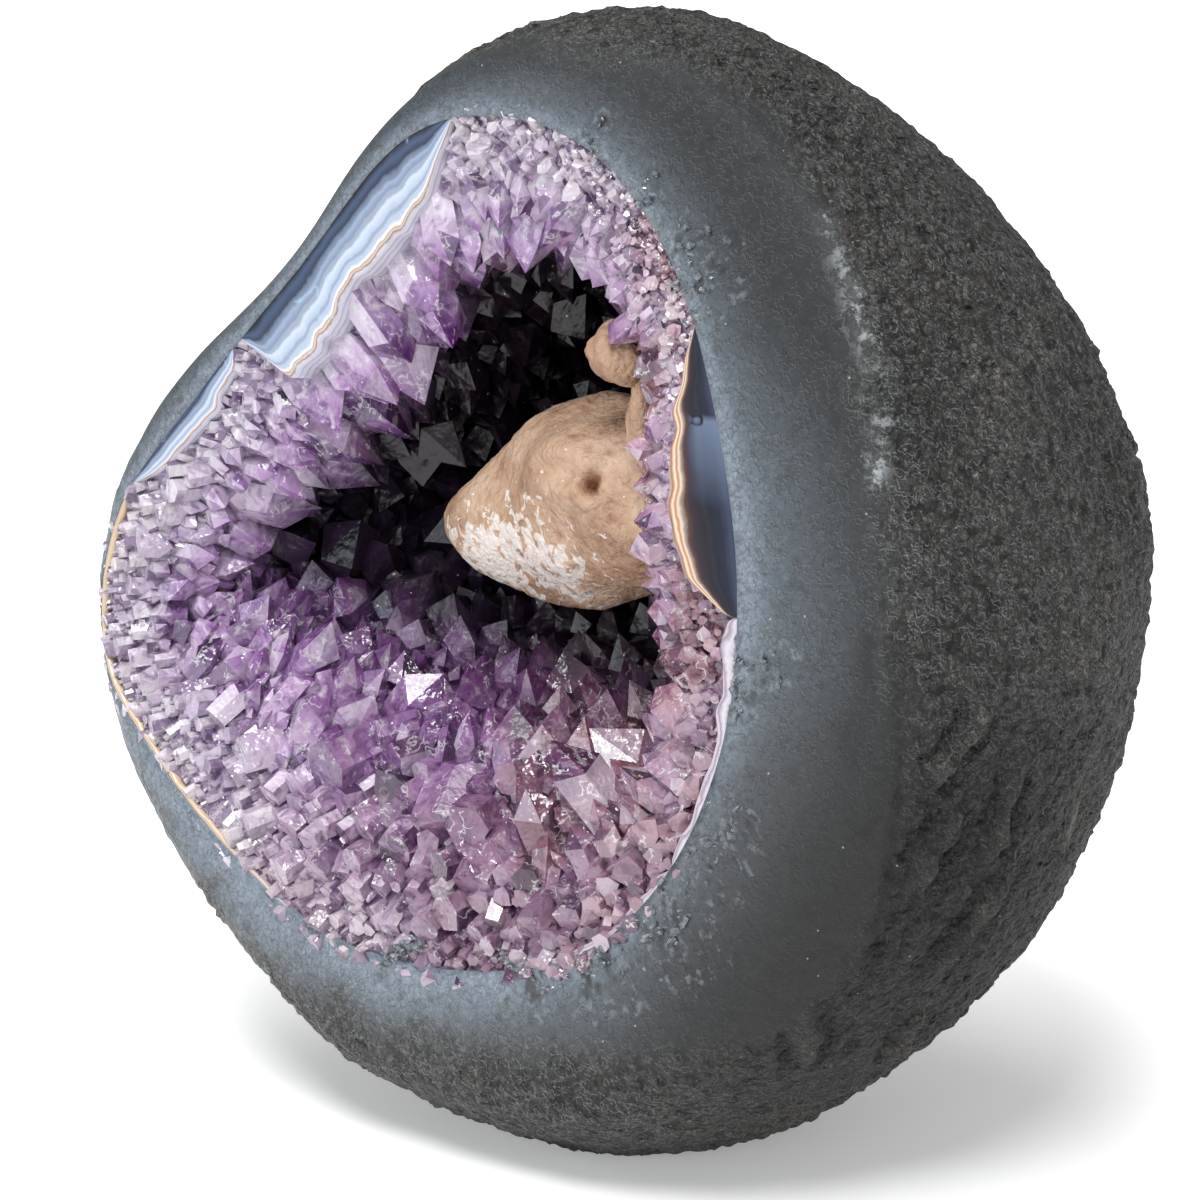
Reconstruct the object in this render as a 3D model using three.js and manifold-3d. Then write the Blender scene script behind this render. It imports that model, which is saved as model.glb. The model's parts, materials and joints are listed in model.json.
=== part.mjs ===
// An amethyst geode half: a stone nodule sawn open, its hollow lined with one crust of crystals,
// lenses of banded agate between stone and crust, and a lump and a knob of calcite inside.
// Millimetres, +Z up. The geode stands on a flat ground on its underside and opens towards -Y.
// The origin lies on that flat, under the middle of the whole.
import * as THREE from "three";
import { mergeVertices } from "three/addons/utils/BufferGeometryUtils.js";
import Module from "manifold-3d";

const wasm = await Module();
wasm.setup();

// Driving dimensions of the nodule, measured from its middle
const HALF_WIDTH = 117.5;
const HALF_DEPTH = 96.5;
const HALF_HEIGHT = 121;
const BASE_DROP = 114.5; // from the middle down to the flat that it stands on
const MIDDLE_RIGHT = 2.4; // where the nodule's middle stands over the origin
const MIDDLE_BACK = -21.18;
const CUT_DISTANCE = 43; // from the middle forward to the sawn face
const CUT_TILT = THREE.MathUtils.degToRad(8); // the sawn face looks up by this much
const LIP_SHARP = 6; // rounding of the sawn edge at the far left
const LIP_SOFT = 32; // and at the far right, where the lip is broad and polished
const LEAST_FACING = 0.05; // a direction that faces the saw less than this is untouched by it
const LIP_RINGS = 5; // rings of facets on the sawn face
const STONE_RINGS = 15; // rings of facets from the lip to the back
const STONE_SIDES = 44; // facets round each ring
const LIP_RING_POWER = 0.6; // crowds the rings towards the sawn edge from the front
const STONE_RING_POWER = 1.15; // and from the back

// Broad swells and flats that turn the ellipsoid into this nodule: direction and height
const SWELL_TIGHTNESS = 7;
const SWELLS = [
  [[-0.93, -0.37, 0], 11.5],
  [[-0.65, -0.35, 0.67], -16.5],
  [[-0.8, 0.2, 0.55], -8.5],
  [[-0.55, -0.4, -0.73], -1.5],
  [[0, -0.3, -0.95], -4],
  [[0.3, -0.3, -0.9], 3],
  [[0.62, 0.35, -0.7], -2.5],
  [[0.86, -0.2, -0.45], -3.5],
  [[0.75, 0.62, 0.1], 4],
  [[0.62, 0.3, 0.72], -1],
  [[0, 0.1, 1], 3.5],
];
const LUMP_HEIGHT = 1.1; // of the low swells all over it

// Ridges that slant down the right side: direction of both ends, width and height
const RIDGES = [
  [[0.985, -0.169, -0.025], [0.948, -0.272, -0.16], 5, 2.2],
  [[0.962, -0.19, -0.2], [0.9, -0.238, -0.36], 6, 2.6],
  [[0.938, -0.032, -0.346], [0.834, -0.109, -0.541], 6, 2.6],
  [[0.9, -0.284, -0.33], [0.806, -0.28, -0.524], 5, 2.6],
  [[0.792, -0.097, -0.603], [0.695, -0.03, -0.719], 5, 2.2],
  [[0.754, -0.346, -0.558], [0.66, -0.22, -0.71], 6, 2.2],
];

// Outlines on the sawn face, clockwise from the top, as [right, up] from the nodule's middle
const STONE_EDGE = [
  [-5, 98], [24, 91], [46, 71], [61, 42], [70, 10], [70, -18], [60, -45], [40, -66], [6, -77],
  [-33, -77], [-62, -66], [-92, -47], [-112, -27], [-110, 2], [-86, 33], [-60, 61], [-30, 92],
];
const INNER_LIP = [
  [-5, 77], [14, 72], [27, 58], [34, 36], [36, 14], [45, -6], [46, -26], [27, -38], [4, -36],
  [-18, -35], [-42, -30], [-66, -22], [-91, -14], [-86, 6], [-68, 20], [-47, 38], [-31, 62],
];
const CAVITY_MIDDLE = [-14, 8];
const HOLLOW_MIDDLE = [-14, 12];
const EDGE_STEPS = 30; // facets round the hole in the stone
const LINING_STEPS = 16; // and round the crust's free surface, which the crystals cover

const CAVITY_DEPTH = 112; // hole in the stone that holds the crust
const CAVITY_POWER = 2.3; // roundness of its wall, 2 is an ellipse
const CLEAR = 0.35; // gap between pieces that touch
const FRONT_REACH = 40; // how far cutting tools run out in front of the sawn face
const SMALLEST_STEP = 0.6; // unevenness in the crust that is smoothed away

// The crust's free surface: [depth, how far from the stone's edge to the inner lip, width, rise]
const CRUST_STATIONS = [
  [1.5, -0.05, 1, 0],
  [5.5, 0.55, 1, 0],
  [15, 1, 1, 0],
  [28, 1, 0.96, 4],
  [42, 1, 0.78, 11],
  [60, 1, 0.6, 16],
  [80, 1, 0.24, 19],
];
const LIP_STATION = 2; // the station at the inner lip

// Agate lenses on the sawn face: [right, up] round each one, and how deep they go
const AGATE_DEPTH = 14;
const AGATES = {
  agate_upper_left: [
    [-18, 97], [-30, 96], [-48, 80], [-66, 60], [-76, 47], [-66, 42], [-58, 39], [-49, 49],
    [-44, 60], [-34, 68], [-24, 80],
  ],
  agate_left: [[-78, 45], [-104, 18], [-112, 8], [-98, 14], [-84, 26], [-77, 38]],
  agate_right: [
    [53, 66], [60, 56], [70, 40], [76, 18], [76, 6], [66, 6], [56, 12], [50, 26], [49, 44],
  ],
  agate_lower_right: [[64, 4], [76, 4], [76, -22], [66, -46], [58, -43], [65, -22]],
};

// Calcite: [right, up] and depth of its middle, half sizes along right, into the stone and up,
// how much it swells to the right, and how far its left end droops
const CALCITE = {
  calcite_lump: { at: [2, 20], depth: 38, half: [42, 16, 21.5], taper: 0.22, droop: 0.2, detail: 3 },
  calcite_knob: { at: [20, 52], depth: 15, half: [10, 8, 8], taper: 0.15, droop: -0.15, detail: 2 },
};

// Crystals: radius at the rim, at the inner lip and deep inside, and how closely they stand
const RADIUS_AT_RIM = 4.8;
const RADIUS_AT_LIP = 8.5;
const RADIUS_INSIDE = 13;
const CRYSTAL_TRIES = 2600;
const CRYSTAL_SPACING = 0.9; // least distance over the sum of two radii
const FIRST_STATION = 0.35; // where the crystals begin, behind the rim
const TURNED_INWARDS = 0.7; // how far those in front of the lip lean to the hollow's middle
const TURNED_INSIDE = 0.2; // and those behind it
const UNTIDINESS = 0.7; // how far crystals stand askew
const TIP_TO_RADIUS = 1.3; // height of a quartz point over its radius
const SHANK_TO_RADIUS = 0.1; // how far the six-sided shank stands out of the crust

// A repeatable random number from 0 to 1
function randomSource(seed) {
  let state = seed;
  return () => {
    state = (state * 1664525 + 1013904223) % 4294967296;
    return state / 4294967296;
  };
}

// A smaller-of-two that rounds over within the width k
function softMin(a, b, k) {
  const share = THREE.MathUtils.clamp(0.5 + (0.5 * (b - a)) / k, 0, 1);
  return b + (a - b) * share - k * share * (1 - share);
}

// Frame of the sawn face: right, up along the face, and out of it
const FACE_RIGHT = new THREE.Vector3(1, 0, 0);
const FACE_UP = new THREE.Vector3(0, Math.sin(CUT_TILT), Math.cos(CUT_TILT));
const FACE_OUT = new THREE.Vector3(0, -Math.cos(CUT_TILT), Math.sin(CUT_TILT));
const FACE_FRAME = new THREE.Matrix4().makeBasis(FACE_RIGHT, FACE_UP, FACE_OUT);

// The point at [right, up] and a depth behind the sawn face
function behindFace([right, up], depth) {
  return new THREE.Vector3(right, up, CUT_DISTANCE - depth).applyMatrix4(FACE_FRAME);
}

// A geometry's closed surface as a solid
function solidFrom(geometry) {
  const bare = geometry.clone();
  bare.deleteAttribute("normal");
  bare.deleteAttribute("uv");
  const merged = mergeVertices(bare, 1e-4);
  return new wasm.Manifold(
    new wasm.Mesh({
      numProp: 3,
      vertProperties: new Float32Array(merged.attributes.position.array),
      triVerts: new Uint32Array(merged.index.array),
    }),
  );
}

// The largest single body of a solid, without the crumbs that a cut leaves
function largestBody(solid) {
  return solid.decompose().reduce((best, body) => (body.volume() > best.volume() ? body : best));
}

// A solid as a geometry with flat faces
function geometryFrom(solid) {
  const mesh = solid.getMesh();
  const geometry = new THREE.BufferGeometry();
  geometry.setAttribute("position", new THREE.BufferAttribute(mesh.vertProperties, 3));
  geometry.setIndex(new THREE.BufferAttribute(mesh.triVerts, 1));
  return geometry;
}

// A geometry whose every point is moved to placeAt(point)
function reshaped(geometry, placeAt) {
  const points = geometry.attributes.position;
  const point = new THREE.Vector3();
  for (let i = 0; i < points.count; i++) {
    const place = placeAt(point.fromBufferAttribute(points, i));
    points.setXYZ(i, place.x, place.y, place.z);
  }
  return geometry;
}

// Low swells all over the stone
function lumps({ x, y, z }) {
  const wave = Math.sin(9 * x + 4 * y) + Math.sin(8 * y - 5 * z + 1) + Math.sin(7 * z + 5 * x + 2);
  return (LUMP_HEIGHT * wave) / 3;
}

// Distance from the nodule's middle to its outside, in one direction, before it was sawn
function wholeRadius(direction) {
  const { x, y, z } = direction;
  let radius = 1 / Math.hypot(x / HALF_WIDTH, y / HALF_DEPTH, z / HALF_HEIGHT);
  for (const [toward, height] of SWELLS) {
    const nearness = direction.dot(new THREE.Vector3(...toward).normalize()) - 1;
    radius += height * Math.exp(SWELL_TIGHTNESS * nearness);
  }
  return radius + lumps(direction);
}

// The same distance after sawing, with the sawn edge rounded over
function stoneRadius(direction) {
  const radius = wholeRadius(direction);
  const facing = direction.dot(FACE_OUT);
  if (facing < LEAST_FACING) return radius;
  const soft = THREE.MathUtils.clamp(direction.x + 0.5, 0, 1);
  return softMin(radius, CUT_DISTANCE / facing, THREE.MathUtils.lerp(LIP_SHARP, LIP_SOFT, soft));
}

// The direction at an angle off the sawn face's axis, and an angle round it
function directionRound(off, round) {
  return new THREE.Vector3(
    Math.cos(round) * Math.sin(off),
    Math.sin(round) * Math.sin(off),
    Math.cos(off),
  ).applyMatrix4(FACE_FRAME);
}

// The angle off the face's axis where the saw cut meets the outside, found by halving
function lipAngle(round) {
  let inside = 0;
  let outside = Math.PI / 2;
  for (let i = 0; i < 30; i++) {
    const middle = (inside + outside) / 2;
    const reach = wholeRadius(directionRound(middle, round)) * Math.cos(middle);
    if (reach > CUT_DISTANCE) inside = middle;
    else outside = middle;
  }
  return inside;
}

// The sawn nodule, as rings of facets of which one follows the sawn edge
function noduleGeometry() {
  const rings = LIP_RINGS + STONE_RINGS;
  const ball = new THREE.SphereGeometry(1, STONE_SIDES, rings);
  return reshaped(ball, (point) => {
    const ring = Math.round((Math.acos(THREE.MathUtils.clamp(point.y, -1, 1)) * rings) / Math.PI);
    const side = Math.round((Math.atan2(point.z, point.x) * STONE_SIDES) / (2 * Math.PI));
    const round = (side * 2 * Math.PI) / STONE_SIDES;
    const lip = lipAngle(round);
    const onFace = lip * (ring / LIP_RINGS) ** LIP_RING_POWER;
    const behind = lip + (Math.PI - lip) * ((ring - LIP_RINGS) / STONE_RINGS) ** STONE_RING_POWER;
    const direction = directionRound(ring < LIP_RINGS ? onFace : behind, -round);
    return direction.multiplyScalar(stoneRadius(direction));
  });
}

// A ridge on the stone: a long low lozenge between two directions
function ridgeSolid([from, to, width, height]) {
  const start = new THREE.Vector3(...from).normalize();
  const end = new THREE.Vector3(...to).normalize();
  start.multiplyScalar(stoneRadius(start));
  end.multiplyScalar(stoneRadius(end));
  const middle = start.clone().add(end).normalize();
  middle.multiplyScalar(stoneRadius(middle));
  const along = end.clone().sub(start);
  const length = along.length();
  along.normalize();
  const outward = middle.clone().addScaledVector(along, -middle.dot(along)).normalize();
  const across = outward.clone().cross(along);
  const lozenge = new THREE.OctahedronGeometry(1).scale(length / 2, width, height);
  lozenge.applyMatrix4(new THREE.Matrix4().makeBasis(along, across, outward));
  lozenge.translate(middle.x, middle.y, middle.z);
  return solidFrom(lozenge);
}

// The nodule with its ridges and with the flat ground underneath
function noduleSolid() {
  const room = 400;
  const ground = new THREE.BoxGeometry(room, room, room).translate(0, 0, -BASE_DROP - room / 2);
  const smooth = solidFrom(noduleGeometry());
  return RIDGES.reduce((whole, ridge) => whole.add(ridgeSolid(ridge)), smooth).subtract(solidFrom(ground));
}

// A closed smooth outline through the given points, as a number of points
function smoothOutline(points, steps) {
  const curve = new THREE.CatmullRomCurve3(
    points.map(([right, up]) => new THREE.Vector3(right, up, 0)),
    true,
    "centripetal",
  );
  return Array.from({ length: steps }, (_, i) => {
    const at = curve.getPoint(i / steps);
    return [at.x, at.y];
  });
}

// An outline scaled about a middle, then drawn in towards it by an inset
function scaledOutline(outline, [midRight, midUp], scale, inset = 0) {
  return outline.map(([right, up]) => {
    const reach = Math.hypot(right - midRight, up - midUp);
    const share = Math.max(scale - inset / reach, 0.001);
    return [midRight + (right - midRight) * share, midUp + (up - midUp) * share];
  });
}

// A closed solid through rings of points, front ring first, capped at both ends
function loftThrough(rings) {
  const steps = rings[0].length;
  const middleOf = (ring) =>
    ring.reduce((sum, p) => sum.add(p), new THREE.Vector3()).multiplyScalar(1 / ring.length);
  const points = [...rings.flat(), middleOf(rings[0]), middleOf(rings.at(-1))];
  const front = points.length - 2;
  const back = points.length - 1;
  const faces = [];
  for (let i = 0; i < steps; i++) {
    const next = (i + 1) % steps;
    const last = (rings.length - 1) * steps;
    faces.push(front, next, i, back, last + i, last + next);
    for (let ring = 0; ring < rings.length - 1; ring++) {
      const here = ring * steps;
      const behind = here + steps;
      faces.push(here + i, here + next, behind + i, here + next, behind + next, behind + i);
    }
  }
  return solidFrom(new THREE.BufferGeometry().setFromPoints(points).setIndex(faces));
}

const stoneEdge = smoothOutline(STONE_EDGE, EDGE_STEPS);
const crustEdge = smoothOutline(STONE_EDGE, LINING_STEPS);
const innerLip = smoothOutline(INNER_LIP, LINING_STEPS);

// The hole in the stone, drawn in by an inset for the pieces that fill it
function cavitySolid(inset) {
  const depth = CAVITY_DEPTH - inset;
  const shares = [0, 0.25, 0.48, 0.68, 0.84, 0.95, 0.998];
  const rings = shares.map((share) => {
    const scale = (1 - share ** CAVITY_POWER) ** (1 / CAVITY_POWER);
    const ring = scaledOutline(stoneEdge, CAVITY_MIDDLE, scale, inset);
    return ring.map((at) => behindFace(at, depth * share));
  });
  const mouth = scaledOutline(stoneEdge, CAVITY_MIDDLE, 1, inset);
  rings.unshift(mouth.map((at) => behindFace(at, -FRONT_REACH)));
  return loftThrough(rings);
}

// One ring of the crust's free surface, as points
function crustRing([depth, toLip, width, rise]) {
  const between = crustEdge.map(([right, up], i) => [
    THREE.MathUtils.lerp(right, innerLip[i][0], toLip),
    THREE.MathUtils.lerp(up, innerLip[i][1], toLip),
  ]);
  const ring = scaledOutline(between, HOLLOW_MIDDLE, width);
  return ring.map(([right, up]) => behindFace([right, up + rise], depth));
}

const crustRings = CRUST_STATIONS.map(crustRing);

// The free space in and in front of the crust
function hollowSolid() {
  const mouth = scaledOutline(crustEdge, CAVITY_MIDDLE, 1.1).map((at) => behindFace(at, -FRONT_REACH));
  return loftThrough([mouth, ...crustRings]);
}

// A quartz point: six-sided shank with a six-sided tip, standing along +Z from below z = 0
function quartzPoint(radius, random) {
  const top = SHANK_TO_RADIUS * radius * (0.5 + random());
  const tip = top + TIP_TO_RADIUS * radius * (0.85 + 0.3 * random());
  const lean = 0.3 * radius * (random() - 0.5);
  const foot = -1.3 * radius;
  const corners = Array.from({ length: 6 }, (_, i) => {
    const reach = radius * (i % 2 ? 0.84 : 1) * (0.9 + 0.2 * random());
    const angle = (i * Math.PI) / 3;
    return [reach * Math.cos(angle), reach * Math.sin(angle)];
  });
  const points = [
    ...corners.map(([x, y]) => new THREE.Vector3(x, y, foot)),
    ...corners.map(([x, y], i) => new THREE.Vector3(x, y, top + (i % 2 ? -0.2 : 0.12) * radius)),
    new THREE.Vector3(lean, 0.6 * lean, tip),
    new THREE.Vector3(0, 0, foot),
  ];
  const faces = [];
  for (let i = 0; i < 6; i++) {
    const next = (i + 1) % 6;
    faces.push(i, next, 6 + next, i, 6 + next, 6 + i, 6 + i, 6 + next, 12, 13, next, i);
  }
  return new THREE.BufferGeometry().setFromPoints(points).setIndex(faces);
}

// The point on the crust's free surface at a station (with its fraction) and a share of the way
// round, and the way a crystal grows there
function crustSurface(station, around) {
  const ringAt = (ring, place) => {
    const whole = Math.floor(place);
    const first = ring[whole % LINING_STEPS];
    return first.clone().lerp(ring[(whole + 1) % LINING_STEPS], place - whole);
  };
  const first = Math.min(Math.floor(station), crustRings.length - 2);
  const place = around * LINING_STEPS;
  const here = ringAt(crustRings[first], place);
  const after = ringAt(crustRings[first + 1], place);
  const point = here.clone().lerp(after, station - first);
  const along = ringAt(crustRings[first], place + 1).sub(here);
  const normal = along.cross(after.sub(here)).normalize();
  const inwards = behindFace(HOLLOW_MIDDLE, 40).sub(point).normalize();
  if (normal.dot(inwards) < 0) normal.negate();
  const turned = station < LIP_STATION ? TURNED_INWARDS : TURNED_INSIDE;
  return { point, facing: normal.addScaledVector(inwards, turned).normalize() };
}

// Radius of a crystal at a station
function crystalRadius(station) {
  const { lerp } = THREE.MathUtils;
  if (station < LIP_STATION) return lerp(RADIUS_AT_RIM, RADIUS_AT_LIP, station / LIP_STATION);
  return lerp(RADIUS_AT_LIP, RADIUS_INSIDE, Math.min((station - LIP_STATION) / 2, 1));
}

// All the crystals that are large enough to build as solids, none too near another
function crystalSolids() {
  const random = randomSource(7);
  const up = new THREE.Vector3(0, 0, 1);
  const grown = [];
  for (let i = 0; i < CRYSTAL_TRIES; i++) {
    const station = FIRST_STATION + (CRUST_STATIONS.length - 1 - FIRST_STATION) * random();
    const { point, facing } = crustSurface(station, random());
    const radius = crystalRadius(station) * (0.75 + 0.5 * random());
    const jitter = new THREE.Vector3(random() - 0.5, random() - 0.5, random() - 0.5);
    const turn = random() * Math.PI;
    const crowded = grown.some(
      (other) => other.point.distanceTo(point) < CRYSTAL_SPACING * (other.radius + radius),
    );
    if (crowded) continue;
    const crystal = quartzPoint(radius, random).rotateZ(turn);
    facing.addScaledVector(jitter, UNTIDINESS).normalize();
    crystal.applyQuaternion(new THREE.Quaternion().setFromUnitVectors(up, facing));
    crystal.translate(point.x, point.y, point.z);
    grown.push({ point, radius, solid: solidFrom(crystal) });
  }
  return grown.map(({ solid }) => solid);
}

// Calcite: a lumpy mass that swells to the right, grown by a margin for the pocket that holds it
function calciteSolid({ at, depth, half, taper, droop, detail }, margin) {
  const middle = behindFace(at, depth);
  const ball = reshaped(new THREE.IcosahedronGeometry(1, detail), (point) => {
    const { x, y, z } = point.normalize();
    const bump = 1 + 0.06 * Math.sin(5 * x + 3 * z) + 0.05 * Math.sin(6 * y - 4 * x + 1);
    const swell = bump * (1 + taper * x);
    const right = (half[0] * bump + margin) * x;
    const up = (half[2] * swell + margin) * z + droop * right;
    return new THREE.Vector3(right, (half[1] * swell + margin) * y, up).add(middle);
  });
  return solidFrom(ball);
}

// An agate lens as a slab behind the sawn face, grown sideways and backwards by a margin
function agateSlab(outline, margin) {
  const curve = new THREE.CatmullRomCurve3(
    outline.map(([right, up]) => new THREE.Vector3(right, up, 0)),
    true,
    "catmullrom",
    0.25,
  );
  const edge = curve.getPoints(2 * outline.length).slice(0, -1);
  const sign = THREE.ShapeUtils.isClockWise(edge) ? -1 : 1;
  const grown = edge.map((at, i) => {
    const along = edge[(i + 1) % edge.length].clone().sub(edge.at(i - 1)).normalize();
    return new THREE.Vector2(at.x + sign * margin * along.y, at.y - sign * margin * along.x);
  });
  const slab = new THREE.ExtrudeGeometry(new THREE.Shape(grown), {
    depth: FRONT_REACH + AGATE_DEPTH + margin,
    bevelEnabled: false,
  });
  slab.translate(0, 0, CUT_DISTANCE - AGATE_DEPTH - margin).applyMatrix4(FACE_FRAME);
  return solidFrom(slab);
}

const nodule = noduleSolid();
const filling = cavitySolid(CLEAR);
const calciteSolids = Object.entries(CALCITE).map(([name, form]) => [name, calciteSolid(form, 0)]);
const calcitePockets = Object.values(CALCITE).map((form) => calciteSolid(form, CLEAR));
const agateSolids = Object.entries(AGATES).map(([name, outline]) => [
  name,
  largestBody(agateSlab(outline, 0).intersect(filling).intersect(nodule)),
]);
const agatePockets = Object.values(AGATES).map((outline) => agateSlab(outline, CLEAR));

// The crust: a lining with all its crystals grown into it, and pockets for agate and calcite
function crustSolid() {
  const lining = filling.intersect(nodule).subtract(hollowSolid());
  const grown = crystalSolids().reduce((whole, crystal) => whole.add(crystal), lining);
  const trimmed = grown.simplify(SMALLEST_STEP).intersect(filling).intersect(nodule);
  const pockets = [...agatePockets, ...calcitePockets];
  return largestBody(pockets.reduce((whole, pocket) => whole.subtract(pocket), trimmed));
}

const stoneFinish = new THREE.MeshStandardMaterial({ color: 0x4a4e50, roughness: 0.55 });
const crystalFinish = new THREE.MeshStandardMaterial({ color: 0x9a78a8, roughness: 0.12 });
const agateFinish = new THREE.MeshStandardMaterial({ color: 0x7d8796, roughness: 0.15 });
const calciteFinish = new THREE.MeshStandardMaterial({ color: 0xc9a888, roughness: 0.6 });

const geode = new THREE.Group();
geode.position.set(MIDDLE_RIGHT, MIDDLE_BACK, BASE_DROP);

function addPiece(name, solid, finish) {
  const piece = new THREE.Mesh(geometryFrom(solid), finish);
  piece.name = name;
  geode.add(piece);
}

addPiece("stone_shell", largestBody(nodule.subtract(cavitySolid(0))), stoneFinish);
addPiece("amethyst_crust", crustSolid(), crystalFinish);
agateSolids.forEach(([name, solid]) => addPiece(name, solid, agateFinish));
calciteSolids.forEach(([name, solid]) => addPiece(name, solid, calciteFinish));

export default geode;
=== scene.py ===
# %% [markdown]
# # An amethyst geode half
# The object is a basalt nodule sawn open: a dark stone shell with a broad polished lip, one crust
# of amethyst that lines its hollow, four lenses of agate between stone and crust, and two pieces of
# calcite. The solids come from the CAD part. This lesson dresses them in detail: a grainy stone, a
# few thousand separate quartz points, banded agate and sugary calcite.

# %% Load the frame and keep its box
import json
import math
import bmesh
import bpy
import numpy as np
from mathutils import Matrix

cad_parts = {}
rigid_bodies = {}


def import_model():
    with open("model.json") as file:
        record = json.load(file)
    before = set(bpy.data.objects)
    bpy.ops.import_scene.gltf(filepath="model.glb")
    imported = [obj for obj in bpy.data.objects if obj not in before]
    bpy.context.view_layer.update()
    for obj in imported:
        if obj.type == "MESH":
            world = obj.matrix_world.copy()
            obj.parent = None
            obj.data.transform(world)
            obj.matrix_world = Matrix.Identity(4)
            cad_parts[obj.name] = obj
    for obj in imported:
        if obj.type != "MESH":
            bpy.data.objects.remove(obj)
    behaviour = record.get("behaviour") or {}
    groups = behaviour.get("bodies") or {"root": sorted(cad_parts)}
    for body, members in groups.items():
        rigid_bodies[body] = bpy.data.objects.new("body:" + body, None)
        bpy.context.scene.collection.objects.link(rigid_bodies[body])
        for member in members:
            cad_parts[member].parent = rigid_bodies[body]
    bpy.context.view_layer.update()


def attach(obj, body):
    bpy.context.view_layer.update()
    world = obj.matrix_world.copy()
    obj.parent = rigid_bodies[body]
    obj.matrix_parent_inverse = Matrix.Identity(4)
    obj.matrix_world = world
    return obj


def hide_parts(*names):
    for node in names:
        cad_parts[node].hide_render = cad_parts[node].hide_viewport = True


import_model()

# %% [markdown]
# ## One frame for every piece
# All shapes are worked out in millimetres from the nodule's middle, and only the last step turns
# them into metres in the frame of the CAD. The sawn face has its own frame: right, up along the
# face, and out of it. An outline on the face is then a plain list of (right, up) points.

# %% The sawn face's frame
MIDDLE = np.array([2.4, -21.18, 114.5])
CUT_DISTANCE = 43.0
CUT_TILT = math.radians(8)
RIGHT = np.array([1.0, 0.0, 0.0])
UP = np.array([0.0, math.sin(CUT_TILT), math.cos(CUT_TILT)])
OUT = np.array([0.0, -math.cos(CUT_TILT), math.sin(CUT_TILT)])
FACE_FRAME = np.array([RIGHT, UP, OUT])
BASE_DROP = 114.5


def in_metres(points):
    """Points from the nodule's middle in millimetres, in the frame of the CAD."""
    return (np.asarray(points) + MIDDLE) * 0.001


def behind_face(right, up, depth):
    """Points at right and up on the sawn face, and a depth behind it."""
    parts = np.broadcast_arrays(right, up, CUT_DISTANCE - np.asarray(depth, float))
    return np.stack(parts, -1) @ FACE_FRAME


def unit(vectors):
    return vectors / np.linalg.norm(vectors, axis=-1, keepdims=True)


# %% [markdown]
# ## The nodule's surface as a formula
# The stone is star-shaped: each direction from its middle meets the outside once. An ellipsoid with
# soft swells gives the radius, and a smaller-of-two that rounds over gives the sawn face and its
# worn edge. A formula beats a sculpted mesh here, because agate, rim and splinters can all be laid
# exactly on the same surface.

# %% Radius of the stone in any direction
HALF_SIZES = np.array([117.5, 96.5, 121.0])
SWELLS = [  # towards, and height in millimetres
    [(-0.93, -0.37, 0), 11.5], [(-0.65, -0.35, 0.67), -16.5], [(-0.8, 0.2, 0.55), -8.5],
    [(-0.55, -0.4, -0.73), -1.5], [(0, -0.3, -0.95), -4], [(0.3, -0.3, -0.9), 3],
    [(0.62, 0.35, -0.7), -2.5], [(0.86, -0.2, -0.45), -3.5], [(0.75, 0.62, 0.1), 4],
    [(0.62, 0.3, 0.72), -1], [(0, 0.1, 1), 3.5],
]
SWELL_TIGHTNESS = 7
RIPPLE = 1.1
LIP_SHARP, LIP_SOFT = 6, 32


def soft_min(a, b, k):
    share = np.clip(0.5 + 0.5 * (b - a) / k, 0, 1)
    return b + (a - b) * share - k * share * (1 - share)


def stone_radius(way):
    """Distance from the middle to the smooth stone, for unit directions."""
    x, y, z = way[..., 0], way[..., 1], way[..., 2]
    radius = 1 / np.linalg.norm(way / HALF_SIZES, axis=-1)
    for toward, height in SWELLS:
        radius = radius + height * np.exp(SWELL_TIGHTNESS * (way @ unit(np.array(toward)) - 1))
    waves = np.sin(9 * x + 4 * y) + np.sin(8 * y - 5 * z + 1) + np.sin(7 * z + 5 * x + 2)
    radius += RIPPLE / 3 * waves
    facing = way @ OUT
    softness = LIP_SHARP + (LIP_SOFT - LIP_SHARP) * np.clip(x + 0.5, 0, 1)
    sawn = soft_min(radius, CUT_DISTANCE / np.maximum(facing, 0.05), softness)
    return np.where(facing < 0.05, radius, sawn)


def on_stone(right, up, sink=0.0):
    """The points of the stone's surface in front of (right, up), found by halving."""
    right, up = np.broadcast_arrays(np.asarray(right, float), np.asarray(up, float))
    near = np.full(right.shape, -12.0)
    far = np.full(right.shape, 110.0)
    for _ in range(30):
        depth = (near + far) / 2
        point = behind_face(right, up, depth)
        reach = np.linalg.norm(point, axis=-1)
        outside = reach > stone_radius(point / reach[..., None])
        near = np.where(outside, depth, near)
        far = np.where(outside, far, depth)
    return behind_face(right, up, far + sink)


# %% [markdown]
# ## Noise that repeats
# Natural stone needs randomness, yet the scene has to come out the same on every run. A small hash
# turns whole-number lattice points into fixed numbers, and two classic noises follow from it:
# smooth value noise for swells, and cell noise for separate grains.

# %% Lattice and cell noise
CELL_FACTORS = (73856093, 19349663, 83492791)


def lattice(cells, salt):
    """A fixed number from 0 to 1 for each whole-number cell."""
    a, b, c = (cells.astype(np.int64)[..., k] * factor for k, factor in enumerate(CELL_FACTORS))
    mixed = ((a ^ b ^ c ^ salt * 2654435761) & 0xFFFFFFFF).astype(np.uint64)
    for shift, factor in ((15, 2246822519), (13, 3266489917), (16, 668265263)):
        mixed = (mixed ^ (mixed >> np.uint64(shift))) * np.uint64(factor) & np.uint64(0xFFFFFFFF)
    return mixed / 4294967296.0


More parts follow.
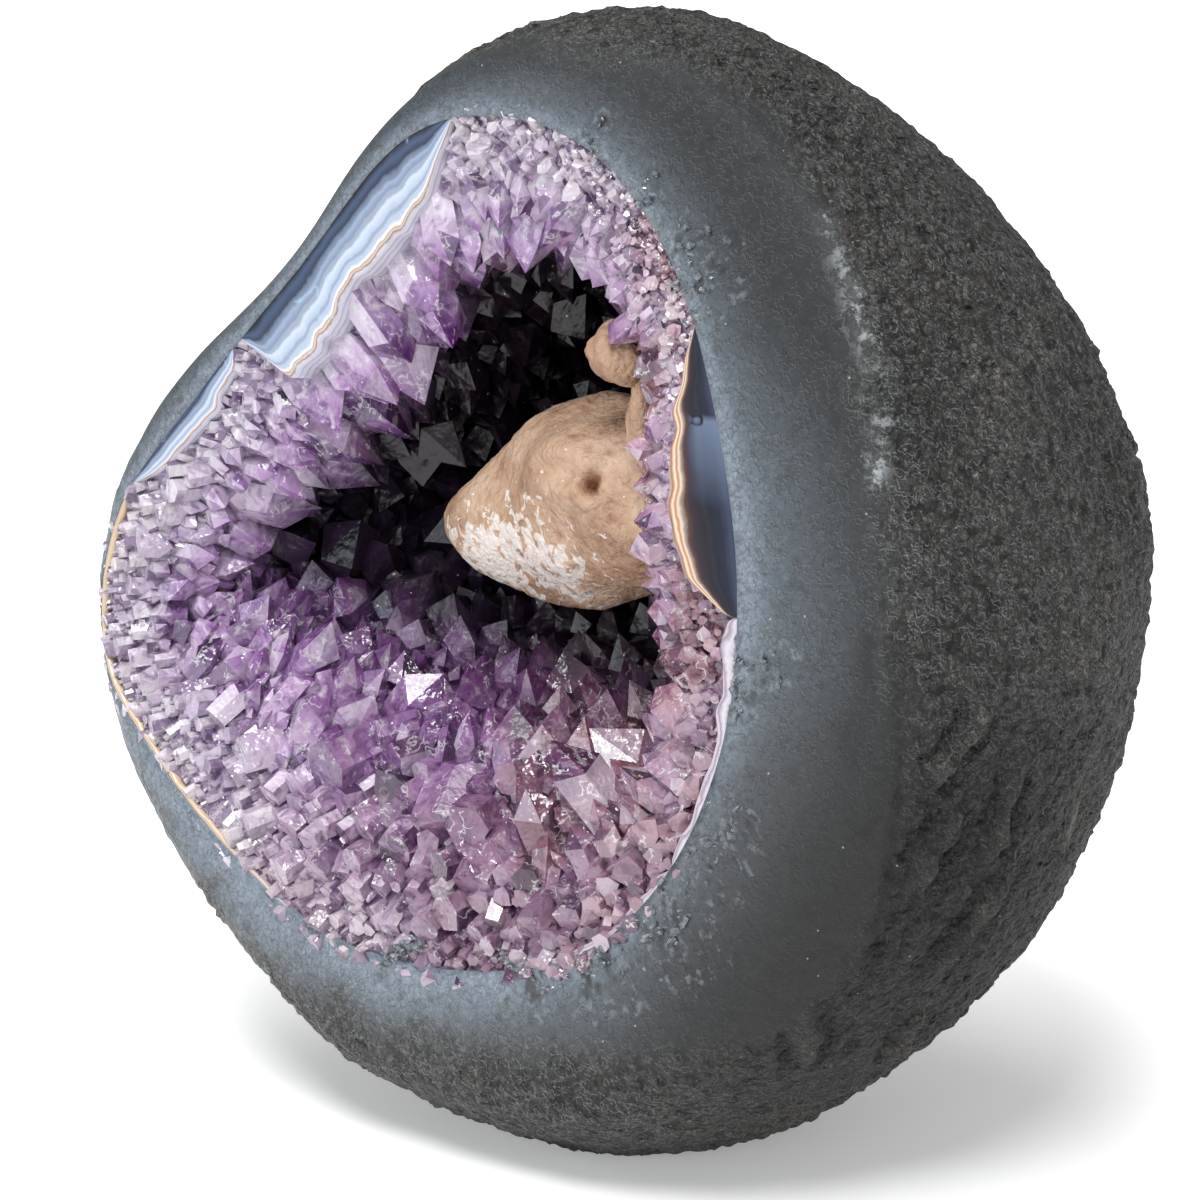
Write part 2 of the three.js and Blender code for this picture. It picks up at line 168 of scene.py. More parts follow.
def value_noise(points, size, salt):
    """Smooth noise from -1 to 1 with swells of the given size."""
    place = np.asarray(points) / size
    cell = np.floor(place)
    share = place - cell
    share = share * share * (3 - 2 * share)
    total = 0
    for corner in np.ndindex(2, 2, 2):
        weight = np.prod(np.where(np.array(corner) == 1, share, 1 - share), axis=-1)
        total = total + weight * lattice(cell + np.array(corner), salt)
    return 2 * total - 1


def cell_noise(points, size, salt):
    """Distance to the nearest grain over the size, and that grain's own number."""
    place = np.asarray(points) / size
    cell = np.floor(place)
    first = np.full(place.shape[:-1], 9.0)
    own = np.zeros(place.shape[:-1])
    for step in np.ndindex(3, 3, 3):
        here = cell + np.array(step) - 1
        grain = here + np.stack([lattice(here, salt + k) for k in range(3)], -1)
        gap = np.linalg.norm(place - grain, axis=-1)
        nearer = gap < first
        own = np.where(nearer, lattice(here, salt + 3), own)
        first = np.where(nearer, gap, first)
    return first, own


def on_a_line(values, second=0):
    """Numbers as points, for the noises."""
    return np.stack([values, second + 0 * values, 0 * values], -1)


def smooth_step(low, high, value):
    share = np.clip((value - low) / (high - low), 0, 1)
    return share * share * (3 - 2 * share)


# %% [markdown]
# ## Outlines
# The edge of the stone and the inner lip of the crust are smooth closed curves through a handful of
# points. The agate lenses use the same kind of curve, drawn a little tighter.

# %% Curves through points
STONE_EDGE = [
    (-5, 98), (24, 91), (46, 71), (61, 42), (70, 10), (70, -18), (60, -45), (40, -66), (6, -77),
    (-33, -77), (-62, -66), (-92, -47), (-112, -27), (-110, 2), (-86, 33), (-60, 61), (-30, 92),
]
INNER_LIP = [
    (-5, 77), (14, 72), (27, 58), (34, 36), (36, 14), (45, -6), (46, -26), (27, -38), (4, -36),
    (-18, -35), (-42, -30), (-66, -22), (-91, -14), (-86, 6), (-68, 20), (-47, 38), (-31, 62),
]


def closed_curve(points, per_span, tension=None):
    """A smooth closed curve, centripetal unless a tension is given."""
    p = np.array(points, float)
    before, here, after, beyond = (np.roll(p, k, axis=0) for k in (1, 0, -1, -2))
    if tension is None:
        first, mid, last = (np.linalg.norm(b - a, axis=1, keepdims=True) ** 0.5
                            for a, b in ((before, here), (here, after), (after, beyond)))
        leave = (here - before) / first - (after - before) / (first + mid) + (after - here) / mid
        arrive = (after - here) / mid - (beyond - here) / (mid + last) + (beyond - after) / last
        leave, arrive = leave * mid, arrive * mid
    else:
        leave, arrive = tension * (after - before), tension * (beyond - here)
    t = np.linspace(0, 1, per_span, endpoint=False)[None, :, None]
    a, b, c, d = (v[:, None, :] for v in (here, leave, after, arrive))
    curve = a + b * t + (3 * c - 3 * a - 2 * b - d) * t ** 2 + (2 * a - 2 * c + b + d) * t ** 3
    return curve.reshape(-1, 2)


def spokes(turns):
    """Unit directions on the face for angles in radians."""
    return np.stack([np.cos(turns), np.sin(turns)], -1)


def reach_of(curve, middle, turns):
    """The nearest and farthest crossing of a closed curve, seen from a middle."""
    rays = spokes(turns)
    start = curve - middle
    span = np.roll(start, -1, axis=0) - start
    cross = rays[:, None, 0] * span[None, :, 1] - rays[:, None, 1] * span[None, :, 0]
    cross = np.where(np.abs(cross) < 1e-12, 1e-12, cross)
    along = (start[:, 0] * span[:, 1] - start[:, 1] * span[:, 0])[None, :] / cross
    side = (start[None, :, 0] * rays[:, None, 1] - start[None, :, 1] * rays[:, None, 0]) / cross
    hit = (side >= -1e-9) & (side <= 1 + 1e-9) & (along > 0)
    return np.where(hit, along, np.inf).min(1), np.where(hit, along, -np.inf).max(1)


def round_table(degrees, table):
    """A value for each direction round the face, from pairs of degrees and value."""
    places, values = np.array(table, float).T
    return np.interp(degrees, places, values, period=360)


stone_edge = closed_curve(STONE_EDGE, 24)
inner_lip = closed_curve(INNER_LIP, 24)
print("stone edge:", len(stone_edge), "points round the opening")

# %% [markdown]
# ## From numbers to meshes
# Every piece is a grid of rings or a list of small solids, so one helper makes a mesh from arrays of
# points and faces, and another stores numbers on its points, corners or faces for the material. Both
# the cavity and the crust's back are the same outline, shrunk with depth.

# %% Mesh helpers
CAVITY_MIDDLE = np.array([-14.0, 8.0])
HOLLOW_MIDDLE = np.array([-14.0, 12.0])
CAVITY_DEPTH = 112
CAVITY_POWER = 2.3


def mesh_from(name, points, *faces):
    """A mesh from points in millimetres and arrays of three-sided or four-sided faces."""
    corners = np.concatenate([np.asarray(f).ravel() for f in faces]).astype(np.int32)
    sizes = np.concatenate([np.full(len(f), np.shape(f)[1]) for f in faces])
    mesh = bpy.data.meshes.new(name)
    mesh.vertices.add(len(points))
    mesh.vertices.foreach_set("co", in_metres(points).astype(np.float32).ravel())
    mesh.loops.add(len(corners))
    mesh.loops.foreach_set("vertex_index", corners)
    mesh.polygons.add(len(sizes))
    mesh.polygons.foreach_set("loop_start", (np.cumsum(sizes) - sizes).astype(np.int32))
    mesh.update(calc_edges=True)
    return mesh


def store(mesh, domain="POINT", **numbers):
    """Keep numbers on a mesh's points, corners or faces."""
    for name, values in numbers.items():
        attribute = mesh.attributes.new(name, "FLOAT", domain)
        attribute.data.foreach_set("value", np.asarray(values, np.float32).ravel())


def read_back(items, name, per_item=1, kind=np.float32):
    values = np.empty(len(items) * per_item, kind)
    items.foreach_get(name, values)
    return values


def ring_quads(rings, sides, closed=True):
    """Four-sided faces between rings of points, first ring first."""
    ring = np.arange(rings - 1)[:, None] * sides
    side = np.arange(sides if closed else sides - 1)[None, :]
    after = (side + 1) % sides
    corners = [ring + side, ring + after, ring + sides + after, ring + sides + side]
    shape = (rings - 1, side.shape[1])
    return np.stack([np.broadcast_to(c, shape) for c in corners], -1).reshape(-1, 4)


def fan(first, sides, tip, flip=False):
    """Three-sided faces from a ring of points to one point."""
    side = first + np.arange(sides)
    after = first + (np.arange(sides) + 1) % sides
    pair = [after, side] if flip else [side, after]
    return np.stack([*pair, np.full(sides, tip)], -1)


def closed_tube(name, rings, sides, points):
    """A mesh of rings, with the last two points at its two ends."""
    tip = rings * sides
    return mesh_from(name, points, ring_quads(rings, sides)[:, ::-1], fan(0, sides, tip),
                     fan(tip - sides, sides, tip + 1, flip=True))


def slab(top, depth):
    """Points and faces of a closed solid under a grid of points."""
    along, across = top.shape[:2]
    count = along * across
    faces = ring_quads(along, across, closed=False)
    cell = np.arange(count).reshape(along, across)
    border = np.concatenate([cell[0], cell[1:, -1], cell[-1, -2::-1], cell[-2:0:-1, 0]])
    after = np.roll(border, -1)
    wall = np.stack([border, border + count, after + count, after], -1)
    points = np.concatenate([top.reshape(-1, 3), (top - OUT * depth).reshape(-1, 3)])
    return points, np.concatenate([faces, faces[:, ::-1] + count, wall])


def facing_out(mesh):
    """Turn all faces to the outside of a closed mesh."""
    work = bmesh.new()
    work.from_mesh(mesh)
    bmesh.ops.recalc_face_normals(work, faces=work.faces)
    work.to_mesh(mesh)
    work.free()
    return mesh


def cavity_ring(curve, share, inset, lift, least):
    """An outline shrunk towards the cavity's middle, at a share of the cavity's depth."""
    scale = (1 - share ** CAVITY_POWER) ** (1 / CAVITY_POWER) - inset
    flat = CAVITY_MIDDLE + (curve - CAVITY_MIDDLE) * scale
    return behind_face(*flat.T, np.maximum(CAVITY_DEPTH * share - lift, least))


def put(name, data):
    """An object in the scene."""
    made = bpy.data.objects.new(name, data)
    bpy.context.scene.collection.objects.link(made)
    return made


def add_piece(mesh, slot, *nodes, smooth=True):
    """Put a mesh in the scene as a piece that rides on the body and may stand for CAD nodes."""
    piece = put(mesh.name, mesh)
    mesh.polygons.foreach_set("use_smooth", np.full(len(mesh.polygons), smooth))
    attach(piece, "root")
    if nodes:
        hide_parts(*nodes)
    print(mesh.name, "-", sum(len(p.vertices) - 2 for p in mesh.polygons), "triangles")
    return piece


# %% [markdown]
# ## The stone shell
# The saw and the polisher left a smooth lip, and behind it the nodule keeps its natural skin: knobs
# the size of coarse sand, shallow pits, slanting ridges low on the right and a few fine creases. A
# grid of rings runs from the sawn edge to the back, and the relief is pushed into its points, so
# that the silhouette is grainy too. Finer grain than the grid can hold is left to the bump.

# %% Where the polish ends, and what crosses the skin
POLISHED_TO = [  # degrees round from the right, degrees off the sawn face's axis
    (-158, 71.4), (-145, 69.4), (-132, 68.6), (-114, 66.5), (-97, 66.3), (-79, 66.1), (-63, 67.5),
    (-51, 71.4), (-42, 76.6), (-31, 77.5), (-22, 76.5), (3, 70.5), (16, 70.4), (28, 71), (46, 74),
    (60, 76), (71, 75), (81, 71), (94, 73), (135, 72), (170, 71),
]
RIDGES = [  # both ends, width and height in millimetres
    [(0.985, -0.169, -0.025), (0.948, -0.272, -0.16), 5, 2.2],
    [(0.962, -0.19, -0.2), (0.9, -0.238, -0.36), 6, 2.6],
    [(0.938, -0.032, -0.346), (0.834, -0.109, -0.541), 6, 2.6],
    [(0.9, -0.284, -0.33), (0.806, -0.28, -0.524), 5, 2.6],
    [(0.792, -0.097, -0.603), (0.695, -0.03, -0.719), 5, 2.2],
    [(0.754, -0.346, -0.558), (0.66, -0.22, -0.71), 6, 2.2],
    [(0.988, -0.077, -0.133), (0.944, -0.096, -0.316), 5, 1.8],
    [(0.735, -0.224, -0.64), (0.666, -0.195, -0.72), 4, 1.6],
]
CREASES = [  # points along the line, width and depth
    [[(0.941, -0.322, 0.101), (0.943, -0.314, -0.109), (0.9, -0.284, -0.33),
      (0.831, -0.275, -0.484)], 1.8, 1.3],
    [[(0.931, -0.352, 0.102), (0.916, -0.384, -0.118)], 1.2, 0.5],
]
SCUFF = [(0.631, -0.191, 0.752), (0.672, -0.203, 0.712), (0.735, -0.22, 0.641),
         (0.798, -0.247, 0.55), (0.852, -0.266, 0.451), (0.881, -0.302, 0.365)]
SCRATCH = [(0.956, 0.17, -0.241), (0.929, 0.168, -0.329)]
CHIPS = [  # where the edge of the saw cut is splintered, and how far
    [(0.864, -0.504, -0.022), 8], [(0.885, -0.463, 0.043), 5], [(0.812, -0.498, -0.304), 6],
    [(0.759, -0.507, -0.407), 7], [(-0.124, -0.616, -0.778), 8], [(0.277, -0.587, -0.761), 9],
    [(0.473, -0.555, -0.684), 11], [(0.657, -0.513, -0.553), 10], [(0.214, -0.251, 0.944), 4],
    [(0.372, -0.283, 0.884), 4], [(0.489, -0.305, 0.817), 6], [(0.56, -0.321, 0.764), 8],
]
# Painted reflection: a pale blue band along the sawn edge is painted into the stone's colour; the same
# band also makes the lip glossier
GLOSS_AND_PAINTED_SHEEN = [  # degrees round from the right, how far the pale gloss reaches in millimetres
    (-180, 9), (-150, 16), (-120, 22), (-95, 19), (-70, 12), (-45, 9), (-20, 11), (0, 13),
    (25, 11), (45, 6), (90, 5), (135, 8),
]
# Painted shade: the stone's lower right, facing away from the lamps, is darkened in its colour towards
# this way
PAINTED_SHADE_WAY = np.array((0.86, -0.2, -0.48))
RIDGE_GAIN = 1.15
RIDGE_SPREAD = 0.62


def surface_path(ways):
    ways = unit(np.array(ways, float))
    return ways * stone_radius(ways)[:, None]


def gap_to_path(points, path):
    """Distance from points to a line through several points, and the share of the way along."""
    best = np.full(len(points), np.inf)
    along = np.zeros(len(points))
    for k, (a, b) in enumerate(zip(path[:-1], path[1:])):
        share = np.clip((points - a) @ (b - a) / ((b - a) @ (b - a)), 0, 1)
        gap = np.linalg.norm(points - a - share[:, None] * (b - a), axis=1)
        along = np.where(gap < best, (k + share) / (len(path) - 1), along)
        best = np.minimum(best, gap)
    return best, along


def bell(gap, width):
    return np.exp(-(gap / width) ** 2)


def stone_relief(ways, points):
    """Height of the skin over the smooth stone, and the masks of what lies on it."""
    off = np.degrees(np.arccos(np.clip(ways @ OUT, -1, 1)))
    around = np.degrees(np.arctan2(ways @ UP, ways @ RIGHT))
    wander = 1.1 * value_noise(points, 14, 3) + 0.6 * value_noise(points, 5, 4)
    rough = smooth_step(-2.4, 1.8, off - round_table(around, POLISHED_TO) + wander)
    near, own = cell_noise(points, 2.9, 11)
    knob = np.sqrt(np.clip(1 - (near / 0.66) ** 2, 0, 1)) * (0.2 + 0.8 * own)
    fine, fine_own = cell_noise(points, 2.0, 21)
    grain = np.clip(1 - fine / 0.6, 0, 1) * fine_own
    broad = (value_noise(points, 26, 31) + 0.6 * value_noise(points, 11, 32)
             + 0.35 * value_noise(points, 5, 33))
    patch = 0.7 + 0.4 * value_noise(points, 34, 35)
    height = rough * (1.8 * patch * knob + 0.6 * grain + 0.8 * broad)
    height += (1 - rough) * 0.14 * value_noise(points, 13, 36)
    for start, end, width, tall in RIDGES:
        gap, share = gap_to_path(points, surface_path([start, end]))
        gap = np.abs(gap + 1.1 * value_noise(points, 4, 41))
        ends = np.clip(1 - (2 * share - 1) ** 4, 0.15, 1)
        side = RIDGE_SPREAD * width
        height += tall * RIDGE_GAIN * ends * np.clip(1 - gap / side, 0, 1) * rough
        height -= 1.5 * bell(gap - side - 1, 1.3) * ends * rough
    creased = np.zeros(len(points))
    for path, width, deep in CREASES:
        gap = gap_to_path(points, surface_path(path))[0] + 0.8 * value_noise(points, 7, 44)
        height -= deep * bell(gap, width)
        # The creases are also darkened in the colour, as painted shade
        creased = np.maximum(creased, bell(gap, 1.1))
    gap, share = gap_to_path(points, surface_path(SCUFF))
    scuffed = bell(gap, 0.8 + 1.5 * np.sin(2.6 * share)) * (0.6 + 0.4 * value_noise(points, 4, 51))
    height -= 0.5 * scuffed * rough
    scratched = bell(gap_to_path(points, surface_path(SCRATCH))[0], 1.3)
    return height, {"rough": rough, "scuffed": np.clip(scuffed, 0, 1), "scratched": scratched,
                    "creased": creased}


# %% Build the stone from rings
SIDES = 520
OUTER_RINGS = 176
HOLE_SHARES = (0.3, 0.48, 0.68, 0.84, 0.95, 0.998)
turns = np.linspace(0, 2 * np.pi, SIDES, endpoint=False)
edge_flat = reach_of(stone_edge, np.zeros(2), turns)[0][:, None] * spokes(turns)
edge_points = on_stone(*edge_flat.T)
edge_off = np.arccos(unit(edge_points) @ OUT)
# Rings stand closest where the skin is rough and in view, and wider towards the back
steps = np.linspace(0, 1, 400)
closeness = np.interp(steps, [0, 0.08, 0.16, 0.5, 0.72, 1], [1.1, 0.8, 1.35, 1.25, 0.85, 0.6])
closeness = np.concatenate([[0], np.cumsum(closeness[1:])])
shares = np.interp(np.linspace(0, closeness[-1], OUTER_RINGS), closeness, steps)
off = edge_off[None, :] + (math.pi - 0.012 - edge_off[None, :]) * shares[:, None]
sideways = spokes(turns) @ FACE_FRAME[:2]
ways = (np.cos(off)[..., None] * OUT + np.sin(off)[..., None] * sideways[None]).reshape(-1, 3)
smooth_points = ways * stone_radius(ways)[:, None]
height, masks = stone_relief(ways, smooth_points)

# %% Splinter the edge, mark the gloss with its painted sheen and the painted shade, and close the shell
chipped = np.zeros(len(ways))
for way, reach in CHIPS:
    gap = np.linalg.norm(smooth_points - surface_path([way])[0], axis=1)
    chipped = np.maximum(chipped, np.clip(1.3 - gap / reach, 0, 1))
splinter, splinter_own = cell_noise(smooth_points, 2.4, 61)
masks["chipped"] = chipped * (splinter_own > 0.5) * np.clip(1 - splinter / 0.7, 0, 1)
height -= 1.6 * masks["chipped"]
from_cut = (off - edge_off[None, :]).ravel() * np.linalg.norm(smooth_points, axis=1)
# The lip's gloss, and the pale reflection painted on it, fade with the distance from the sawn edge
masks["gloss_and_painted_sheen"] = bell(from_cut, np.tile(round_table(np.degrees(turns), GLOSS_AND_PAINTED_SHEEN), OUTER_RINGS))
# Painted shade on the lower right of the stone
masks["painted_shade"] = smooth_step(0.8, 1.0, ways @ unit(PAINTED_SHADE_WAY))
masks["relief"] = height
outside = ways * (stone_radius(ways) + height)[:, None]
outside[:, 2] = np.maximum(outside[:, 2], -BASE_DROP)

# The hole that holds the crust, hidden under it, closes the shell
edge_depth = CUT_DISTANCE - edge_points @ OUT
hole_rings = [cavity_ring(edge_flat, share, 0, 0, edge_depth + 4) for share in HOLE_SHARES]
hole = np.concatenate(hole_rings[::-1])
ends = [hole_rings[-1].mean(0), -OUT * stone_radius(-OUT)]
stone_mesh = closed_tube("basalt_shell", len(HOLE_SHARES) + OUTER_RINGS, SIDES,
                         np.concatenate([hole, outside, ends]))
store(stone_mesh, **{name: np.pad(mask, (len(hole), 2), constant_values=float(name == "rough"))
                     for name, mask in masks.items()})
stone = add_piece(stone_mesh, "stone", "stone_shell")

# %% [markdown]
# ## The amethyst crust
# Real crystals grow side by side from the rock into the hollow: grains at the rim, large points at
# the inner lip and inside. Each is a six-sided prism with a six-sided tip. They are scattered by
# throwing darts at the lining and keeping those that have room, then joined with the lining by the
# Manifold boolean into one closed solid. Its operands have to be free of overlaps themselves, so
# the crystals are first dealt out into sets whose members don't touch.

# %% The surface that the crystals grow from
CRUST_STATIONS = [  # depth, how far from the stone's edge to the inner lip, width, rise
    (1.5, -0.05, 1, 0), (5.5, 0.55, 1, 0), (15, 1, 1, 0), (28, 1, 0.96, 4), (42, 1, 0.78, 11),
    (60, 1, 0.6, 16), (80, 1, 0.24, 19),
]
LIP_STATION = 2
LAST_STATION = 6
HEART_DEPTH = 40


def crust_surface(station, around):
    """Points of the crust's free surface at a station and a share of the way round."""
    table = np.array(CRUST_STATIONS, float)
    steps = np.arange(len(table))
    depth, to_lip, width, rise = (np.interp(station, steps, table[:, k]) for k in range(4))
    place = np.mod(around, 1) * len(stone_edge)
    low = np.floor(place).astype(int)
    share = (place - low)[..., None]
    outer, inner = (curve[low % len(curve)] * (1 - share) + curve[(low + 1) % len(curve)] * share
                    for curve in (stone_edge, inner_lip))
    flat = outer + (inner - outer) * to_lip[..., None]
    flat = HOLLOW_MIDDLE + (flat - HOLLOW_MIDDLE) * width[..., None]
    right, up = flat[..., 0], flat[..., 1]
    # In front of the inner lip the crust follows the stone's own surface where that lies deeper
    behind = CUT_DISTANCE - on_stone(right, up) @ OUT + 1.2 + 0.35 * depth
    sunk = behind_face(right, up + rise, np.maximum(depth, behind))
    in_front = (station < LIP_STATION)[..., None]
    return np.where(in_front, sunk, behind_face(right, up + rise, depth))


def crust_normal(station, around):
    """The way out of the crust's surface, and the way to the heart of the hollow."""
    step = 0.004
    along = crust_surface(station, around + step) - crust_surface(station, around - step)
    inwards = crust_surface(station + 0.05, around) - crust_surface(station - 0.05, around)
    normal = unit(np.cross(along, inwards))
    toward = behind_face(*HOLLOW_MIDDLE, HEART_DEPTH) - crust_surface(station, around)
    return normal * np.sign(np.sum(normal * toward, -1))[..., None], unit(toward)


# %% The lining under the crystals
AROUND = 150
LINING_BACK = (0.98, 0.9, 0.75, 0.55, 0.35, 0.12)
lining_stations = np.concatenate([np.linspace(0, 2, 9), np.linspace(2.25, LAST_STATION, 14)])
front = crust_surface(*np.meshgrid(lining_stations, np.arange(AROUND) / AROUND, indexing="ij"))
outward = unit(front - behind_face(*HOLLOW_MIDDLE, HEART_DEPTH))
front += outward * 0.6 * value_noise(front, 9, 71)[..., None]
wall_curve = stone_edge[(np.arange(AROUND) * len(stone_edge) / AROUND).astype(int)]
wall_depth = CUT_DISTANCE - front[0] @ OUT
back = [cavity_ring(wall_curve, share, 0.004, 1, wall_depth + 6) for share in LINING_BACK]
lining = np.concatenate([np.stack(back), front])
lining_mesh = closed_tube("amethyst_lining", len(lining), AROUND, np.concatenate([
    lining.reshape(-1, 3), lining[0].mean(0)[None], lining[-1].mean(0)[None]]))
print("lining:", len(lining_mesh.polygons), "faces")

# %% What the crystals keep clear of
CALCITE = {  # right and up of the middle, depth, half sizes, taper and droop
    "calcite_lump": ((2, 20), 38, (42, 16, 21.5), 0.22, 0.2),
    "calcite_knob": ((20, 52), 15, (10, 8, 8), 0.15, -0.15),
}
AGATES = {
    "agate_upper_left": [(-18, 97), (-30, 96), (-48, 80), (-66, 60), (-76, 47), (-66, 42),
                         (-58, 39), (-49, 49), (-44, 60), (-34, 68), (-24, 80)],
    "agate_left": [(-78, 45), (-104, 18), (-112, 8), (-98, 14), (-84, 26), (-77, 38)],
    "agate_right": [(53, 66), (60, 56), (70, 40), (76, 18), (76, 6), (66, 6), (56, 12), (50, 26),
                    (49, 44)],
    "agate_lower_right": [(64, 4), (76, 4), (76, -22), (66, -46), (58, -43), (65, -22)],
}
agate_curves = {name: closed_curve(points, 12, tension=0.25) for name, points in AGATES.items()}


def inside_curve(curve, flat):
    after = np.roll(curve, -1, axis=0)
    up, right = flat[:, None, 1], flat[:, None, 0]
    crosses = (curve[None, :, 1] > up) != (after[None, :, 1] > up)
    rise = np.where(after[:, 1] == curve[:, 1], 1e-9, after[:, 1] - curve[:, 1])
    at = curve[None, :, 0] + (up - curve[None, :, 1]) / rise * (after[:, 0] - curve[:, 0])
    return (np.sum(crosses & (right < at), axis=1) % 2) == 1


def calcite_gap(points):
    """How far points lie outside the calcite, roughly, in millimetres."""
    return np.minimum(*(
        (np.linalg.norm((points - behind_face(*at, depth)) / np.array(half), axis=-1) - 1) * min(half)
        for at, depth, half, _, _ in CALCITE.values()))


# %% Throw the darts
RADIUS_STATIONS = [0, 0.35, 0.9, 1.5, 2.0, 2.6, 3.4, LAST_STATION]
RADIUS = [1.2, 2.0, 3.1, 4.6, 6.6, 6.4, 6.0, 7.5]
rng = np.random.default_rng(5)


def throw_darts(count, size, spacing, kept):
    """Add crystals where a dart has room among those kept: point, facing, radius, station."""
    station = LAST_STATION * rng.random(count) ** 1.5
    around = rng.random(count)
    points = crust_surface(station, around)
    normal, toward = crust_normal(np.clip(station, 0.06, 5.9), around)
    spread = 0.65 + 0.75 * rng.random(count) ** 1.6
    radius = np.interp(station, RADIUS_STATIONS, RADIUS) * size * spread
    right, up, _ = (points @ FACE_FRAME.T).T
    # On the right, and in the roof of the hollow, the points stay smaller; low down they grow
    low = (station < 1.7) * smooth_step(-75, -45, right)
    radius *= 1 - 0.4 * smooth_step(6, 26, right) * smooth_step(-42, -12, up) * (station < 3.2)
    radius *= 1 - 0.25 * smooth_step(20, 45, up) * (station > 2.6)
    radius *= 1 + 0.45 * smooth_step(0, -22, up) * low
    free = calcite_gap(points) > 0.4 * radius
    for curve in agate_curves.values():
        free &= ~(inside_curve(curve, np.stack([right, up], -1)) & (station < LIP_STATION))
    taken = np.array([k[0] for k in kept]).reshape(-1, 3)
    sizes = np.array([k[2] for k in kept])
    for i in np.flatnonzero(free):
        gap = np.linalg.norm(taken - points[i], axis=1)
        if np.any(gap < spacing * (sizes + radius[i])):
            continue
        lean = 0.95 if station[i] < LIP_STATION + 0.3 else 0.25
        facing = 0.7 * normal[i] + lean * toward[i] + 0.8 * (rng.random(3) - 0.5)
        kept.append((points[i], unit(facing), radius[i], station[i]))
        taken = np.append(taken, points[i][None], axis=0)
        sizes = np.append(sizes, radius[i])
    return kept


crystals = throw_darts(9000, 1.0, 0.62, [])
print("main crystals:", len(crystals))
crystals = throw_darts(10000, 0.52, 0.58, crystals)
print("with the small ones between:", len(crystals))


# %% Grow the crystals
def quartz_point(point, facing, radius, station):
    """Corners and height of one crystal; its foot goes well into the lining."""
    side = unit(np.cross(facing, rng.normal(size=3)))
    other = np.cross(facing, side)
    top = radius * (0.3 + (0.5 if station > LIP_STATION else 1.3) * rng.random())
    tip = top + radius * (0.95 + 0.5 * rng.random())
    foot = -1.1 * radius
    odd = np.arange(6) % 2
    reach = radius * np.where(odd, 0.86, 1.0) * (0.88 + 0.24 * rng.random(6))
    turn = np.arange(6) * math.pi / 3 + 0.12 * (rng.random(6) - 0.5)
    ring = reach[:, None] * (np.cos(turn)[:, None] * side + np.sin(turn)[:, None] * other)
    shoulder = top + radius * np.where(odd, -0.28, 0.14) * (0.5 + rng.random(6))
    lean = radius * 0.35 * (rng.random(2) - 0.5)
    return point + np.concatenate([
        ring * 0.92 + facing * foot,
        ring + facing * shoulder[:, None],
        [lean[0] * side + lean[1] * other + facing * tip],
        [facing * foot],
    ]), tip - foot


side = np.arange(6)
after = (side + 1) % 6
CORNERS = 14
CRYSTAL_FACES = np.concatenate([
    np.stack([side, after, 6 + after], -1), np.stack([side, 6 + after, 6 + side], -1),
    np.stack([6 + side, 6 + after, np.full(6, 12)], -1), np.stack([np.full(6, 13), after, side], -1),
])
FACETS = np.concatenate([side, side, 6 + side, np.full(6, 12)])


def crystal_mesh(name, shapes):
    """One mesh of several crystals that don't share points."""
    faces = [CRYSTAL_FACES + CORNERS * k for k in range(len(shapes))]
    return mesh_from(name, np.concatenate(shapes), np.concatenate(faces))


grown, lengths = zip(*(quartz_point(*crystal) for crystal in crystals))
centres = np.array([corners.mean(0) for corners in grown])
reaches = np.array([np.linalg.norm(corners - centre, axis=1).max()
                    for corners, centre in zip(grown, centres)])

# Deal them out so that no two in a set touch
sets = []
for i in np.argsort(-reaches):
    for members in sets:
        gaps = np.linalg.norm(centres[members] - centres[i], axis=1)
        if np.all(gaps > reaches[members] + reaches[i]):
            members.append(i)
            break
    else:
        sets.append([i])
print("crystals dealt into", len(sets), "sets, largest", max(map(len, sets)))


# %% Join lining and crystals into one solid
def boolean(base_mesh, operation, tools):
    """One Manifold boolean of a mesh and a list of meshes."""
    collection = bpy.data.collections.new("tools")
    bpy.context.scene.collection.children.link(collection)
    for mesh in tools:
        collection.objects.link(bpy.data.objects.new(mesh.name, mesh))
    base = put("boolean_base", base_mesh)
    modifier = base.modifiers.new("join", "BOOLEAN")
    modifier.solver = "MANIFOLD"
    modifier.operation = operation
    modifier.operand_type = "COLLECTION"
    modifier.collection = collection
    bpy.context.view_layer.update()
    evaluated = base.evaluated_get(bpy.context.evaluated_depsgraph_get())
    result = bpy.data.meshes.new_from_object(evaluated)
    for used in [base, *collection.objects]:
        bpy.data.objects.remove(used)
    bpy.data.collections.remove(collection)
    return result


def store_bare(mesh):
    """Mark all faces of a mesh as no crystal's."""
    nothing = np.zeros(len(mesh.polygons))
    store(mesh, "FACE", crystal=nothing, facet=nothing)


crystal_sets = []
for number, members in enumerate(sets):
    mesh = crystal_mesh("crystal_set_%d" % number, [grown[i] for i in members])
    store(mesh, "FACE", crystal=np.repeat(np.array(members) + 1, len(FACETS)),
          facet=np.tile(FACETS, len(members)) + 1)
    crystal_sets.append(mesh)
store_bare(lining_mesh)
joined = boolean(lining_mesh, "UNION", crystal_sets)
print("joined:", len(joined.polygons), "faces,", len(joined.vertices), "points")

# %% [markdown]
# ## Pockets for agate and calcite
# The agate lenses and the calcite sit in the crust. The lenses are strips between the stone's edge
# and their own inner line, so that their banding can follow the distance across the strip. The
# calcite is a lumpy ball. Each is made twice: once as the piece, once a little larger as a pocket.

# %% Agate lenses
LENS_ALONG, LENS_ACROSS = 150, 22
LENS_DEPTH = 13
LENS_TRIM = {"agate_lower_right": 0.4}


